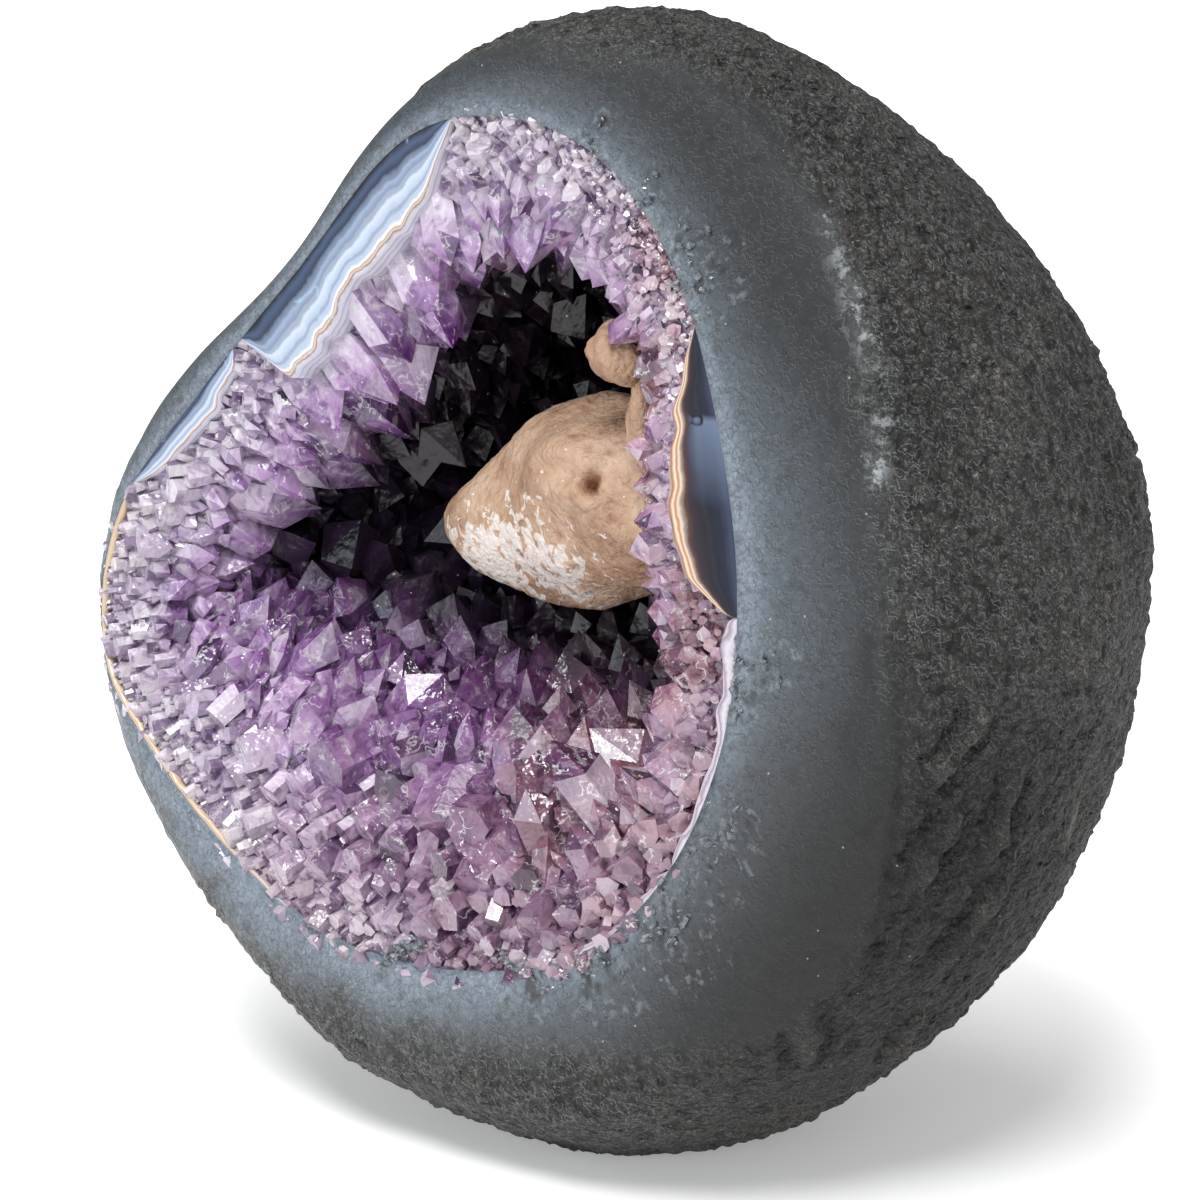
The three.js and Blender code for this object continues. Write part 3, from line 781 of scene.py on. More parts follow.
def lens_mesh(label, name, sink, depth, wave):
    """One lens, sunk a little into the stone's surface, with the share across it."""
    curve = agate_curves[name]
    turn = np.unwrap(np.arctan2(*(curve - CAVITY_MIDDLE).T[::-1]))
    if turn.max() - turn.min() > math.pi:
        turn = np.mod(turn, 2 * math.pi)
    ease = 0.5 - 0.5 * np.cos(np.linspace(0.03, math.pi - 0.03, LENS_ALONG))
    rounds = turn.min() + (turn.max() - turn.min()) * ease
    near, far = reach_of(curve, CAVITY_MIDDLE, rounds)
    far = np.minimum(far, reach_of(stone_edge, CAVITY_MIDDLE, rounds)[0] + 0.9)
    scallops = 0.9 * value_noise(on_a_line(70 * rounds), 3.6, 83)
    trim = LENS_TRIM.get(name, 0.0)
    near = np.minimum(near + scallops + trim * (far - near), far - 0.15)
    share = np.linspace(0, 1, LENS_ACROSS)
    reach = near[:, None] + (far - near)[:, None] * share[None, :]
    flat = CAVITY_MIDDLE + reach[..., None] * spokes(rounds)[:, None, :]
    top = on_stone(flat[..., 0], flat[..., 1], sink)
    edge_drop = 0.5 * np.exp(-share * 22) + wave * value_noise(top, 8, 81)
    top = top - OUT * edge_drop[..., None]
    mesh = facing_out(mesh_from(label, *slab(top, depth)))
    # The walls count as lying before the first band
    store(mesh, across=np.concatenate([np.tile(share, LENS_ALONG), np.tile(share - 1.5, LENS_ALONG)]))
    return mesh


lenses = {name: lens_mesh(name.replace("agate_", "agate_lens_"), name, 0.35, LENS_DEPTH, 0.08)
          for name in AGATES}
lens_pockets = [lens_mesh(name + "_pocket", name, -4.0, LENS_DEPTH + 4.5, 0.0) for name in AGATES]


# %% Calcite
def calcite_mass(at, depth, half, taper, droop, margin, levels):
    """Points and triangles of a lumpy mass, and the round ball it was made from."""
    work = bmesh.new()
    bmesh.ops.create_icosphere(work, subdivisions=levels, radius=1.0)
    ball = np.array([v.co[:] for v in work.verts])
    triangles = np.array([[v.index for v in f.verts] for f in work.faces])
    work.free()
    x, y, z = ball.T
    bump = 1 + 0.06 * np.sin(5 * x + 3 * z) + 0.05 * np.sin(6 * y - 4 * x + 1)
    swell = bump * (1 + taper * x)
    right = (half[0] * bump + margin) * x
    up = (half[2] * swell + margin) * z + droop * right
    points = np.stack([right, (half[1] * swell + margin) * y, up], -1)
    return points + behind_face(*at, depth), triangles, ball


pockets = []
for name, form in CALCITE.items():
    points, triangles, _ = calcite_mass(*form, margin=0.2, levels=4)
    pockets.append(facing_out(mesh_from(name + "_pocket", points, triangles)))
pockets += lens_pockets
for pocket in pockets:
    store_bare(pocket)
crust_mesh = boolean(joined, "DIFFERENCE", pockets)
crust_mesh.name = "amethyst_points"
crust_mesh.materials.clear()
crust_mesh.polygons.foreach_set("material_index", np.zeros(len(crust_mesh.polygons), np.int32))
print("crust after the pockets:", len(crust_mesh.polygons), "faces")

# %% [markdown]
# ## Numbers for the crystals' colours
# Amethyst is palest at its root and at the rim, and deep in the hollow it turns a darker violet, most
# of it painted shade. The boolean keeps each face's crystal and facet, so every crystal gets its own
# tone and every facet its own painted brightness, up to a white painted highlight, and the place of
# each point gives the rest, with painted light and shade round the hollow.

# %% Store them on the crust
# Painted light and shade: the crystals are made lighter or darker round the hollow, as the lamps reach
# them
PAINTED_BRIGHTNESS = [  # degrees round from the right, how bright the crystals are
    (-160, 0.95), (-130, 0.9), (-105, 0.7), (-80, 0.52), (-50, 0.5), (-25, 0.6), (0, 0.8),
    (25, 0.86), (60, 0.9), (95, 0.98), (140, 1.0), (180, 0.97),
]
faces = crust_mesh.polygons
crystal_of, facet_of = (
    np.round(read_back(crust_mesh.attributes[name].data, "value")).astype(int)
    for name in ("crystal", "facet"))
corner_crystal = np.repeat(crystal_of, read_back(faces, "loop_total", kind=np.int32))
corner_point = read_back(crust_mesh.loops, "vertex_index", kind=np.int32)
crust_points = read_back(crust_mesh.vertices, "co", 3).reshape(-1, 3) * 1000.0 - MIDDLE
origin = np.array([[0, 0, 0]] + [list(c[0]) for c in crystals])[corner_crystal]
axis = np.array([[0, 0, 1]] + [list(c[1]) for c in crystals])[corner_crystal]
length = np.array([1, *lengths])[corner_crystal]
height_up = np.sum((crust_points[corner_point] - origin) * axis, -1) / length
tip = np.where(corner_crystal > 0, np.clip(height_up / 0.65, 0, 1), 0)
store(crust_mesh, "CORNER", tip=tip)
# A tone for each crystal, and a painted brightness for each facet, as facets catch the light
# differently
store(crust_mesh, "FACE", tone=lattice(on_a_line(crystal_of), 91),
      facet_tone=lattice(on_a_line(crystal_of, facet_of), 92))

right, up, forward = (crust_points @ FACE_FRAME.T).T
depth_behind = CUT_DISTANCE - forward
skin_depth = CUT_DISTANCE - on_stone(right, up) @ OUT
from_edge = np.full(len(crust_points), np.inf)
for edge_right, edge_up in stone_edge[::3]:
    from_edge = np.minimum(from_edge, np.hypot(right - edge_right, up - edge_up))
# How deep a point lies in the hollow, where the colour turns to painted shade
low_part = smooth_step(5, -25, up)
deep = (depth_behind - 0.6 * skin_depth - 11 - 5 * low_part) / (15 + 20 * low_part)
round_angle = np.degrees(np.arctan2(up - HOLLOW_MIDDLE[1], right - HOLLOW_MIDDLE[0]))
brightness = round_table(round_angle, PAINTED_BRIGHTNESS)
brightness *= 1 + 0.3 * value_noise(crust_points, 13, 93) * smooth_step(1.0, 0.6, brightness)
# Painted shade: darker in the roof of the hollow
roof = smooth_step(14, 34, up) * smooth_step(24, 40, depth_behind)
store(crust_mesh, from_edge=from_edge, deep=smooth_step(0, 1, deep),
      rightward=smooth_step(80, 42, np.abs(round_angle + 4)),
      brightness=np.clip(brightness, 0, 1) * (1 - 0.6 * roof))
crust = add_piece(crust_mesh, "amethyst", "amethyst_crust", smooth=False)

# %% [markdown]
# ## Agate and calcite as pieces
# The lenses are ready. The calcite gets its lumps, pits and a fold with an open pit pushed into the
# ball's points, and a mask for its sugary patch. A short neck joins its knob to the lump.

# %% Dressed agate and calcite
agate_pieces = {name: add_piece(mesh, "chalcedony" if name in LENS_TRIM else "agate", name)
                for name, mesh in lenses.items()}

BARE_KNOB = ((21, 52), 15, (7.6, 6.5, 6.6), 0.15, -0.15)
CALCITE_NECK = ((26, 42), 21, (5.5, 6.5, 13), 0.1, 0.1)
OPEN_PIT = np.array([0.243, -0.947, 0.209])
FOLD = np.array([(-0.2, -0.87, 0.46), (0.08, -0.93, 0.33), (0.24, -0.95, 0.17), (0.42, -0.89, -0.08),
                 (0.5, -0.8, -0.33)])
SUGAR_MIDDLE = np.array([-0.42, -0.68, -0.55])
SUGAR_SHAPE = np.array([1.2, 1.0, 1.0])


def lump_relief(ball, half, points):
    """Height and mask of the open pit and the fold that runs through it."""
    gap = np.linalg.norm((ball - OPEN_PIT) * half, axis=1) + 0.8 * value_noise(points, 2.5, 107)
    open_pit = smooth_step(2.9, 0.7, gap)
    height = 1.2 * bell(gap - 3.8, 1.2) * (ball[:, 0] < OPEN_PIT[0] + 0.03) - 4.8 * open_pit
    gap, share = gap_to_path(ball * half, FOLD * half)
    gap = gap + 0.9 * value_noise(points, 5, 108)
    ends = np.clip(1 - (2 * share - 1) ** 4, 0, 1)
    return height + ends * (1.3 * bell(gap - 3.2, 2.4) - 1.7 * bell(gap, 1.1)), open_pit


calcite_pieces = []
for name, form in {**CALCITE, "calcite_knob": BARE_KNOB, "calcite_neck": CALCITE_NECK}.items():
    is_lump = name == "calcite_lump"
    points, triangles, ball = calcite_mass(*form, margin=0.0, levels=6 if is_lump else 5)
    way = unit(points - behind_face(*form[0], form[1]))
    broad = value_noise(points, 17, 102) + 0.5 * value_noise(points, 7, 103)
    fine = value_noise(points, 2.2, 104) + 0.6 * value_noise(points, 1.1, 105)
    pits = np.clip(0.28 - cell_noise(points, 5.5, 106)[0], 0, 1) / 0.28
    height = 1.3 * broad + 0.3 * fine - 1.1 * pits
    sugar = 1.45 - 1.35 * np.linalg.norm((ball - SUGAR_MIDDLE) * SUGAR_SHAPE, axis=1)
    if is_lump:
        opened, open_pit = lump_relief(ball, form[2], points)
        height += opened
    pits = np.maximum(0.8 * pits, open_pit) if is_lump else 0.2 * pits
    points = points + way * height[:, None]
    mesh = facing_out(mesh_from(name.replace("calcite_", "calcite_body_"), points, triangles))
    store(mesh, pit=pits, sugar=np.clip(sugar, 0, 1) * is_lump)
    calcite_pieces.append(add_piece(mesh, "calcite", *([name] if name in CALCITE else [])))

# %% [markdown]
# ## The thin rind and the splintered edge
# Between stone and crystals runs a rind of chalcedony no thicker than a match. It shows in two
# places only, orange at the left and lilac at the lower right, as a narrow strip on the stone's
# surface. Where the saw chipped the edge, glassy splinters stick to the polished lip; they are
# small crystals lying almost flat, crowded towards the edge.

# %% Rind along the edge
RIND_WIDTH = 1.1
RIND_DEPTH = 3.0
RIND_ACROSS = 7
RIND_STEP = 2 * math.pi / 900
RIND_RUNS = [(450, 178), (728, 83)]  # first step and number of steps round the cavity
RIND_PLACES = [  # degrees round the cavity, how wide, how warm
    (178, 0.7, 1), (190, 1, 1), (225, 0.8, 1), (240, 0.5, 0.6), (252, 0, 0), (290, 0, 0),
    (300, 1.2, 0), (326, 1.2, 0), (330, 0, 0),
]
share = np.linspace(0, 1, RIND_ACROSS)
solids, across, warmth = [], [], []
for first, count in RIND_RUNS:
    rounds = first * RIND_STEP + np.arange(count) * RIND_STEP
    place, wide, warm = np.array(RIND_PLACES, float).T
    wide, warm = (np.interp(np.degrees(rounds), place, values) for values in (wide, warm))
    ends = np.clip(np.minimum(np.arange(count), np.arange(count)[::-1]) / 6, 0.1, 1)
    wave = 0.35 * value_noise(on_a_line(60 * rounds), 1.6, 111)
    width = (RIND_WIDTH + wave) * ends * wide + 0.02
    edge = reach_of(stone_edge, CAVITY_MIDDLE, rounds)[0] + 0.15
    reach = edge[:, None] - width[:, None] * (1 - share)[None, :]
    flat = CAVITY_MIDDLE + reach[..., None] * spokes(rounds)[:, None, :]
    solids.append(slab(on_stone(flat[..., 0], flat[..., 1], 0.2), RIND_DEPTH))
    across.append(np.tile(share, 2 * count))
    warmth.append(np.tile(np.repeat(warm, RIND_ACROSS), 2))
offset = len(solids[0][0])
rind_mesh = facing_out(mesh_from("chalcedony_rind", np.concatenate([s[0] for s in solids]),
                                 solids[0][1], solids[1][1] + offset))
store(rind_mesh, across=np.concatenate(across), warm=np.concatenate(warmth))
rind = add_piece(rind_mesh, "chalcedony")

# %% Splinters on the lip
shards = []
for way, reach in CHIPS:
    spot = surface_path([way])[0]
    nearest = edge_points[np.argmin(np.linalg.norm(edge_points - spot, axis=1))]
    along_edge = unit(np.cross(spot - nearest, unit(spot)))
    for _ in range(int(3.2 * reach)):
        off_edge = (spot - nearest) * (0.1 + 0.9 * rng.random() ** 1.5)
        outward = unit(nearest + off_edge + 0.5 * reach * rng.normal() * along_edge)
        place = outward * stone_radius(outward) - 0.1 * outward
        lying = unit(np.cross(outward, rng.normal(size=3)) + 0.25 * outward)
        shards.append(quartz_point(place, lying, 0.3 + 0.65 * rng.random() ** 2.5, 0)[0])
splinters = add_piece(crystal_mesh("rim_splinters", shards), "amethyst", smooth=False)

# %% [markdown]
# ## Shader groups
# Grain, specks, short marks and agate bands each serve more than one finish or piece, so each is a
# node group with named sockets, placed in a material with its own values.

# %% Helpers for nodes
def rgb(code):
    """A linear colour from a six-digit web colour."""
    parts = [int(code[k:k + 2], 16) / 255 for k in (0, 2, 4)]
    return tuple(c / 12.92 if c < 0.04045 else ((c + 0.055) / 1.055) ** 2.4 for c in parts) + (1.0,)


class Nodes:
    """The nodes of one finish or group, with short ways to add the kinds used here."""

    def __init__(self, tree):
        self.tree = tree

    def set(self, node, values):
        """Link inputs to sockets, or set them; a word is a web colour."""
        for key, value in values.items():
            if isinstance(value, bpy.types.NodeSocket):
                self.tree.links.new(value, node.inputs[key])
            else:
                node.inputs[key].default_value = rgb(value) if isinstance(value, str) else value

    def add(self, kind, values, **settings):
        made = self.tree.nodes.new("ShaderNode" + kind)
        for key, setting in settings.items():
            setattr(made, key, setting)
        self.set(made, values)
        return made

    def math(self, operation, a, b=0.0, c=0.0):
        return self.add("Math", {0: a, 1: b, 2: c}, operation=operation).outputs[0]

    def times(self, a, b):
        return self.math("MULTIPLY", a, b)

    def times_plus(self, a, b, c):
        return self.math("MULTIPLY_ADD", a, b, c)

    def minus(self, a, b):
        return self.math("SUBTRACT", a, b)

    def fit(self, value, low, high, start=0.0, end=1.0):
        """A value between low and high, moved to between start and end."""
        return self.add("MapRange", {"Value": value, "From Min": low, "From Max": high,
                                     "To Min": start, "To Max": end}).outputs[0]

    def noise(self, vector, scale, detail=2.0, roughness=0.5, distortion=0.0):
        return self.add("TexNoise", {"Vector": vector, "Scale": scale, "Detail": detail,
                                     "Roughness": roughness, "Distortion": distortion}).outputs[0]

    def mix(self, share, first, second, blend="MIX"):
        """Two colours mixed by a share."""
        return self.add("Mix", {0: share, 6: first, 7: second},
                        data_type="RGBA", blend_type=blend).outputs[2]

    def layers(self, colour, *overs):
        """A colour with others laid over it in turn, each by its own share."""
        for share, over in overs:
            colour = self.mix(share, colour, over)
        return colour

    def ramp(self, value, stops):
        """A colour ramp from words such as 0.3 1f2224, 0.7 2a2d2f."""
        made = self.add("ValToRGB", {0: value})
        stops = [stop.split() for stop in stops.split(",")]
        elements = made.color_ramp.elements
        while len(elements) < len(stops):
            elements.new(0.5)
        for element, (place, colour) in zip(elements, stops):
            element.position = float(place)
            element.color = rgb(colour)
        return made.outputs[0]

    def read(self, name):
        return self.add("Attribute", {}, attribute_name=name).outputs["Fac"]

    def place(self):
        return self.add("TexCoord", {}).outputs["Object"]

    def use(self, group, **values):
        made = self.add("Group", {}, node_tree=group)
        self.set(made, values)
        return made.outputs

    def bump(self, distance, strength, height):
        return self.add("Bump", {"Distance": distance, "Strength": strength,
                                 "Height": height}).outputs[0]


def new_group(name, inputs, outputs):
    """A shader group that takes a vector and named numbers and gives named numbers."""
    group = bpy.data.node_groups.new(name, "ShaderNodeTree")
    group.interface.new_socket("Vector", in_out="INPUT", socket_type="NodeSocketVector")
    for label, value in inputs.items():
        socket = group.interface.new_socket(label, in_out="INPUT", socket_type="NodeSocketFloat")
        socket.default_value = value
    for label in outputs:
        group.interface.new_socket(label, in_out="OUTPUT", socket_type="NodeSocketFloat")
    entry = group.nodes.new("NodeGroupInput").outputs
    return group, Nodes(group), entry, group.nodes.new("NodeGroupOutput")


def start_finish(name):
    material = bpy.data.materials.new(name)
    material.use_nodes = True
    return material, Nodes(material.node_tree), material.node_tree.nodes["Principled BSDF"]


# %% Grain, specks, marks and bands
grain_group, n, entry, leave = new_group(
    "mineral_grain", {"Size": 0.001, "Pitting": 0.5}, ["Height", "Pits", "Seams", "Tone"])
scale = n.math("DIVIDE", 1.0, entry["Size"])
warp = n.add("TexNoise", {"Vector": entry["Vector"], "Scale": scale, "Detail": 0.0})
offset = n.add("VectorMath", {0: warp.outputs["Color"], "Scale": 0.0012}, operation="SCALE")
bent = n.add("VectorMath", {0: entry["Vector"], 1: offset.outputs[0]}, operation="ADD").outputs[0]
knobs = n.add("TexVoronoi", {"Vector": bent, "Scale": scale})
borders = n.add("TexVoronoi", {"Vector": bent, "Scale": scale}, feature="DISTANCE_TO_EDGE")
speckle_and_painted_sparkle = n.noise(entry["Vector"], scale, 3.0, 0.7)
body = n.times_plus(speckle_and_painted_sparkle, 1.4, n.minus(1.0, knobs.outputs["Distance"]))
pit_mask = n.fit(n.noise(entry["Vector"], n.times(scale, 0.45)), 0.6, 0.68)
number = n.add("SeparateColor", {"Color": knobs.outputs["Color"]})
n.set(leave, {
    "Height": n.minus(body, n.times(pit_mask, entry["Pitting"])), "Pits": pit_mask,
    "Seams": n.fit(borders.outputs["Distance"], 0.02, 0.12, 1.0, 0.0), "Tone": number.outputs[0],
})

speck_group, n, entry, leave = new_group(
    "mineral_specks", {"Spacing": 0.004, "Share": 0.2, "Width": 0.12}, ["Mask"])
scale = n.math("DIVIDE", 1.0, entry["Spacing"])
seeds = n.add("TexVoronoi", {"Vector": entry["Vector"], "Scale": scale})
inside = n.math("LESS_THAN", seeds.outputs["Distance"], entry["Width"])
number = n.add("SeparateColor", {"Color": seeds.outputs["Color"]})
chosen = n.math("LESS_THAN", number.outputs[0], entry["Share"])
n.set(leave, {"Mask": n.times(inside, chosen)})

# Painted highlight: each mark gets a pale copy a little to one side, as if that side were lit
BESIDE = (0.00012, 0.0001, 0.00024)  # metres from a mark to its lit side
marks_group, n, entry, leave = new_group(
    "short_marks", {"Size": 0.002, "Width": 0.03, "Above": 0.55}, ["Mask", "Lit"])
scale = n.math("DIVIDE", 1.0, entry["Size"])
chosen = n.noise(entry["Vector"], n.times(scale, 0.73), 1.0)
kept = n.fit(n.minus(chosen, entry["Above"]), 0.0, 0.03)
beside = n.add("VectorMath", {0: entry["Vector"], 1: BESIDE}, operation="ADD").outputs[0]
for label, vector in (("Mask", entry["Vector"]), ("Lit", beside)):
    off_line = n.math("ABSOLUTE", n.minus(n.noise(vector, scale), 0.5))
    stroke = n.minus(1.0, n.math("MINIMUM", n.math("DIVIDE", off_line, entry["Width"]), 1.0))
    n.set(leave, {label: n.times(stroke, kept)})

band_group, n, entry, leave = new_group(
    "agate_bands", {"Across": 0.0, "Waviness": 0.05, "Lines": 9.0}, ["Place", "Line"])
centred = n.minus(n.noise(entry["Vector"], 130.0, 4.0, 0.6), 0.5)
place = n.times_plus(centred, entry["Waviness"], entry["Across"])
wave = n.math("SINE", n.times(n.times(place, entry["Lines"]), 2 * math.pi))
n.set(leave, {"Place": place, "Line": n.times_plus(wave, 0.5, 0.5)})
print("shader groups:", sorted(group.name for group in bpy.data.node_groups))

# %% [markdown]
# ## Stone finish
# Basalt is nearly black. Near the sawn edge a pale blue reflection is painted into the polish,
# brightest right at the edge. Its skin is matt, a little browner, and carries pale specks. The mask
# that the mesh stores drives both colour and roughness, so the finish changes exactly where the relief
# does. Knob tops, pits, fine strokes, creases and the stone's lower right get painted light and shade.

# %% Basalt
basalt, n, shader = start_finish("basalt")
vector = n.place()
rough, gloss_and_painted_sheen, chipped = n.read("rough"), n.read("gloss_and_painted_sheen"), n.read("chipped")
grain = n.use(grain_group, Vector=vector, Size=0.0017, Pitting=1.4)
fine = n.use(grain_group, Vector=vector, Size=0.00085, Pitting=0.6)
marks = n.use(marks_group, Vector=vector, Size=0.0024, Width=0.035, Above=0.5)
short = n.use(marks_group, Vector=vector, Size=0.0016, Width=0.06, Above=0.49)
specks = n.use(speck_group, Vector=vector, Spacing=0.0026, Share=0.12, Width=0.09)
cloud = n.noise(vector, 22.0, 4.0, 0.65)
# Painted reflection: pale blue laid over the polish near the sawn edge, and a paler blue right at it
polished = n.layers(
    n.ramp(cloud, "0.3 1f2224, 0.7 2a2d2f"), (gloss_and_painted_sheen, "434e57"),
    (n.times(n.math("POWER", gloss_and_painted_sheen, 13.0), 0.5), "93a1b0"))
colour = n.mix(rough, polished, n.ramp(cloud, "0.3 3a3836, 0.55 464440, 0.75 554e46"))

# Painted light and shade: knob tops and ridges lighter, low ground and pits darker, as light falls on
# the relief; the grain's own tone and its dark seams are the stone's colour
shade = n.fit(n.read("relief"), -1.6, 2.4, -0.4, 0.4)
for value, weight in (
    (n.minus(grain["Tone"], 0.5), 0.4), (n.minus(fine["Tone"], 0.5), 0.5),
    (grain["Seams"], -0.4), (fine["Seams"], -0.25), (grain["Pits"], -0.6),
):
    shade = n.times_plus(value, weight, shade)
lit = n.math("POWER", 7.0, n.times(shade, n.times_plus(rough, 0.85, 0.35)))
grey = n.add("CombineColor", {"Red": lit, "Green": lit, "Blue": lit}).outputs[0]
colour = n.mix(1.0, colour, grey, "MULTIPLY")

# Painted light and shade of fine embossed strokes: dark strokes and, a little beside them, pale ones
pale = n.math("MAXIMUM", marks["Lit"], short["Lit"])
dark = n.math("MAXIMUM", marks["Mask"], short["Mask"])
flecks = n.noise(vector, 420.0, 3.0, 0.7)
fleck_mask = n.fit(flecks, 0.5, 0.6)
colour = n.layers(
    colour,
    (n.times(pale, n.times_plus(rough, 0.55, 0.17)), "8b8f90"),
    (n.times(dark, n.times_plus(gloss_and_painted_sheen, -0.4, 0.85)), "0d0d0e"),
    # painted shade: the lower right of the stone darkened
    (n.times(n.read("painted_shade"), 0.7), "171615"),
    # painted shade in the creases
    (n.times(n.read("creased"), 0.75), "0e0f10"),
    (n.times(specks["Mask"], 0.7), "a09d95"),
    (n.times(n.read("scuffed"), n.times_plus(fleck_mask, 0.75, 0.1)), "b4babd"),
    (n.times(n.read("scratched"), 0.6), "8d8072"),
    (n.times(n.fit(chipped, 0.02, 0.1, 0.0, 0.3), fleck_mask), "8f9aa4"),
    (n.fit(chipped, 0.12, 0.4, 0.0, 0.8), "101214"),
)
polish = n.times(n.minus(1.0, rough), n.times_plus(gloss_and_painted_sheen, 0.5, 0.02))
n.set(shader, {
    "Base Color": colour,
    "Roughness": n.times_plus(flecks, 0.2, n.minus(n.fit(gloss_and_painted_sheen, 0.0, 1.0, 0.74, 0.36), 0.1)),
    "Coat Weight": n.times(polish, n.times_plus(dark, -0.9, 1.0)), "Coat Roughness": 0.3,
    "Normal": n.bump(0.0022, n.times_plus(rough, 0.88, 0.12), grain["Height"]),
})
stone.data.materials.append(basalt)

# %% [markdown]
# ## Amethyst finish
# Amethyst is clear quartz tinted violet towards the tips, cloudy at the root. Part of the light goes
# through the crystal, so the shader mixes plain transmission with a coloured surface, and absorption
# in the volume deepens the violet where the crystal is thick. Its colour also carries painted light:
# bright and dark facets, near-white facets, white glints and sparkles, lighter and darker parts round
# the hollow, and painted shade deep inside it.

# %% Amethyst
QUARTZ_IOR = 1.544
amethyst, n, shader = start_finish("amethyst")
vector = n.place()
tip_mask, tone, facet_tone, deep, rightward, lightness = (
    n.read(name) for name in ("tip", "tone", "facet_tone", "deep", "rightward", "brightness"))
from_edge = n.fit(n.read("from_edge"), 2.0, 34.0)
root_colour = n.ramp(from_edge, "0 f6f1f5, 0.35 f3e9f6, 0.75 e6d0ee, 1 cda8dc")
tip_colour = n.ramp(from_edge, "0 efe3f0, 0.35 d8bde4, 0.65 bb85cc, 1 8f419f")
blush = n.noise(vector, 75.0, 3.0)
pink = n.mix(tip_mask, "f4dade", "d596a8")
colour = n.layers(
    n.mix(tip_mask, root_colour, tip_colour),
    (n.times(rightward, n.fit(blush, 0.4, 0.58, 0.25, 1.0)), pink),
    (n.times(rightward, n.fit(blush, 0.55, 0.64, 0.0, 0.7)), "a2606a"),
)
# Painted reflections: each facet lighter or darker, up to white, as if catching the light; the
# crystal's own tone takes the smaller share
facets = n.ramp(n.times_plus(tone, 0.35, n.times(facet_tone, 0.65)),
                "0 4d3857, 0.2 9f8aac, 0.4 ece3f1, 0.62 ffffff")
colour = n.mix(1.0, colour, facets, "MULTIPLY")
veils = n.noise(vector, 210.0, 3.0, distortion=1.4)
colour = n.layers(
    colour,
    (n.fit(veils, 0.48, 0.36, 0.0, 0.6), n.mix(1.0, colour, "8a6a98", "MULTIPLY")),
    (n.fit(veils, 0.56, 0.68, 0.0, 0.6), "f8f4fa"),
)
# Painted light and shade round the hollow, darkening green most so the shade stays violet
shade = n.add("CombineColor", {
    "Red": n.math("POWER", lightness, 0.95), "Green": n.math("POWER", lightness, 1.4),
    "Blue": n.math("POWER", lightness, 1.15),
}).outputs[0]
# Painted shade deep in the hollow: near-black violet, a little lighter or darker by facet
inside = n.mix(1.0, n.mix(facet_tone, "120a17", "3b2a42"), shade, "MULTIPLY")
glints = n.use(marks_group, Vector=vector, Size=0.0032, Width=0.03, Above=0.56)
speckle_and_painted_sparkle = n.use(speck_group, Vector=vector, Spacing=0.0026, Share=0.35, Width=0.085)
# Painted highlights: a few facets near white, short white glints and white sparkle specks; deep in the
# hollow the painted shade takes over
colour = n.layers(
    n.mix(1.0, colour, shade, "MULTIPLY"),
    (n.times(n.fit(facet_tone, 0.86, 0.93), n.times_plus(deep, -0.45, 0.45)), "efe4f3"),
    (deep, inside),
    (n.times(glints["Mask"], n.times_plus(deep, -0.7, 0.75)), "ffffff"),
    (n.times(speckle_and_painted_sparkle["Mask"], 0.85), "ffffff"),
)
growth = n.times(n.noise(vector, 330.0), n.times_plus(deep, -0.35, 1.0))
n.set(shader, {
    "Base Color": colour, "Roughness": n.times_plus(deep, 0.22, 0.08), "IOR": QUARTZ_IOR,
    "Transmission Weight": 0.35, "Coat Weight": n.times_plus(deep, -0.8, 0.8),
    "Coat Roughness": 0.05, "Normal": n.bump(0.0014, 0.75, growth),
})
absorb = n.add("VolumeAbsorption", {"Color": "b088d0", "Density": 35.0})
n.set(n.tree.nodes["Material Output"], {"Volume": absorb.outputs[0]})
crust.data.materials.append(amethyst)

# %% [markdown]
# ## Agate and chalcedony finish
# Each lens is banded along its length. The bands are a ramp over the share across the strip, bent a
# little by noise, with fine lines added, and a clear coat gives the polish of the saw's finish.

# %% Banded agate
DARK_WINDOW = (0.1625, 0.146)  # metres up: where the dark lens's paler part starts and has faded


def agate_finish(name, stops, line_colour, lines, waviness, cool=None, streaked=0.0, window=None,
                 gloss=0.2):
    """A banded finish; cool stops take over where the mesh isn't warm."""
    material, n, shader = start_finish(name)
    vector = n.place()
    bands = n.use(band_group, Vector=vector, Across=n.read("across"), Waviness=waviness, Lines=lines)
    colour = n.mix(n.fit(bands["Line"], 0.6, 1.0, 0.0, 0.35), n.ramp(bands["Place"], stops),
                   line_colour)
    if cool:
        colour = n.mix(n.read("warm"), n.ramp(bands["Place"], cool), colour)
    streaks = n.use(marks_group, Vector=vector, Size=0.011, Width=0.02, Above=0.55)["Mask"]
    colour = n.mix(n.times(streaks, streaked), colour, "a9c3da")
    if window:
        high, low = window
        height = n.add("SeparateXYZ", {"Vector": vector}).outputs["Z"]
        edge = n.fit(n.times_plus(streaks, 0.002, height), high, high + 0.0012, 1.0, 0.0)
        below = n.times(n.fit(height, low, high, 0.0, 0.6), edge)
        colour = n.mix(n.times(below, n.fit(bands["Place"], 0.3, 0.5)), colour, "74859f")
    n.set(shader, {
        "Base Color": colour, "Roughness": 0.22, "Coat Weight": gloss, "Coat Roughness": 0.12,
        "Specular IOR Level": 0.25 if window else 0.5,
        "Normal": n.bump(0.0002, 0.3, n.noise(vector, 260.0)),
    })
    return material


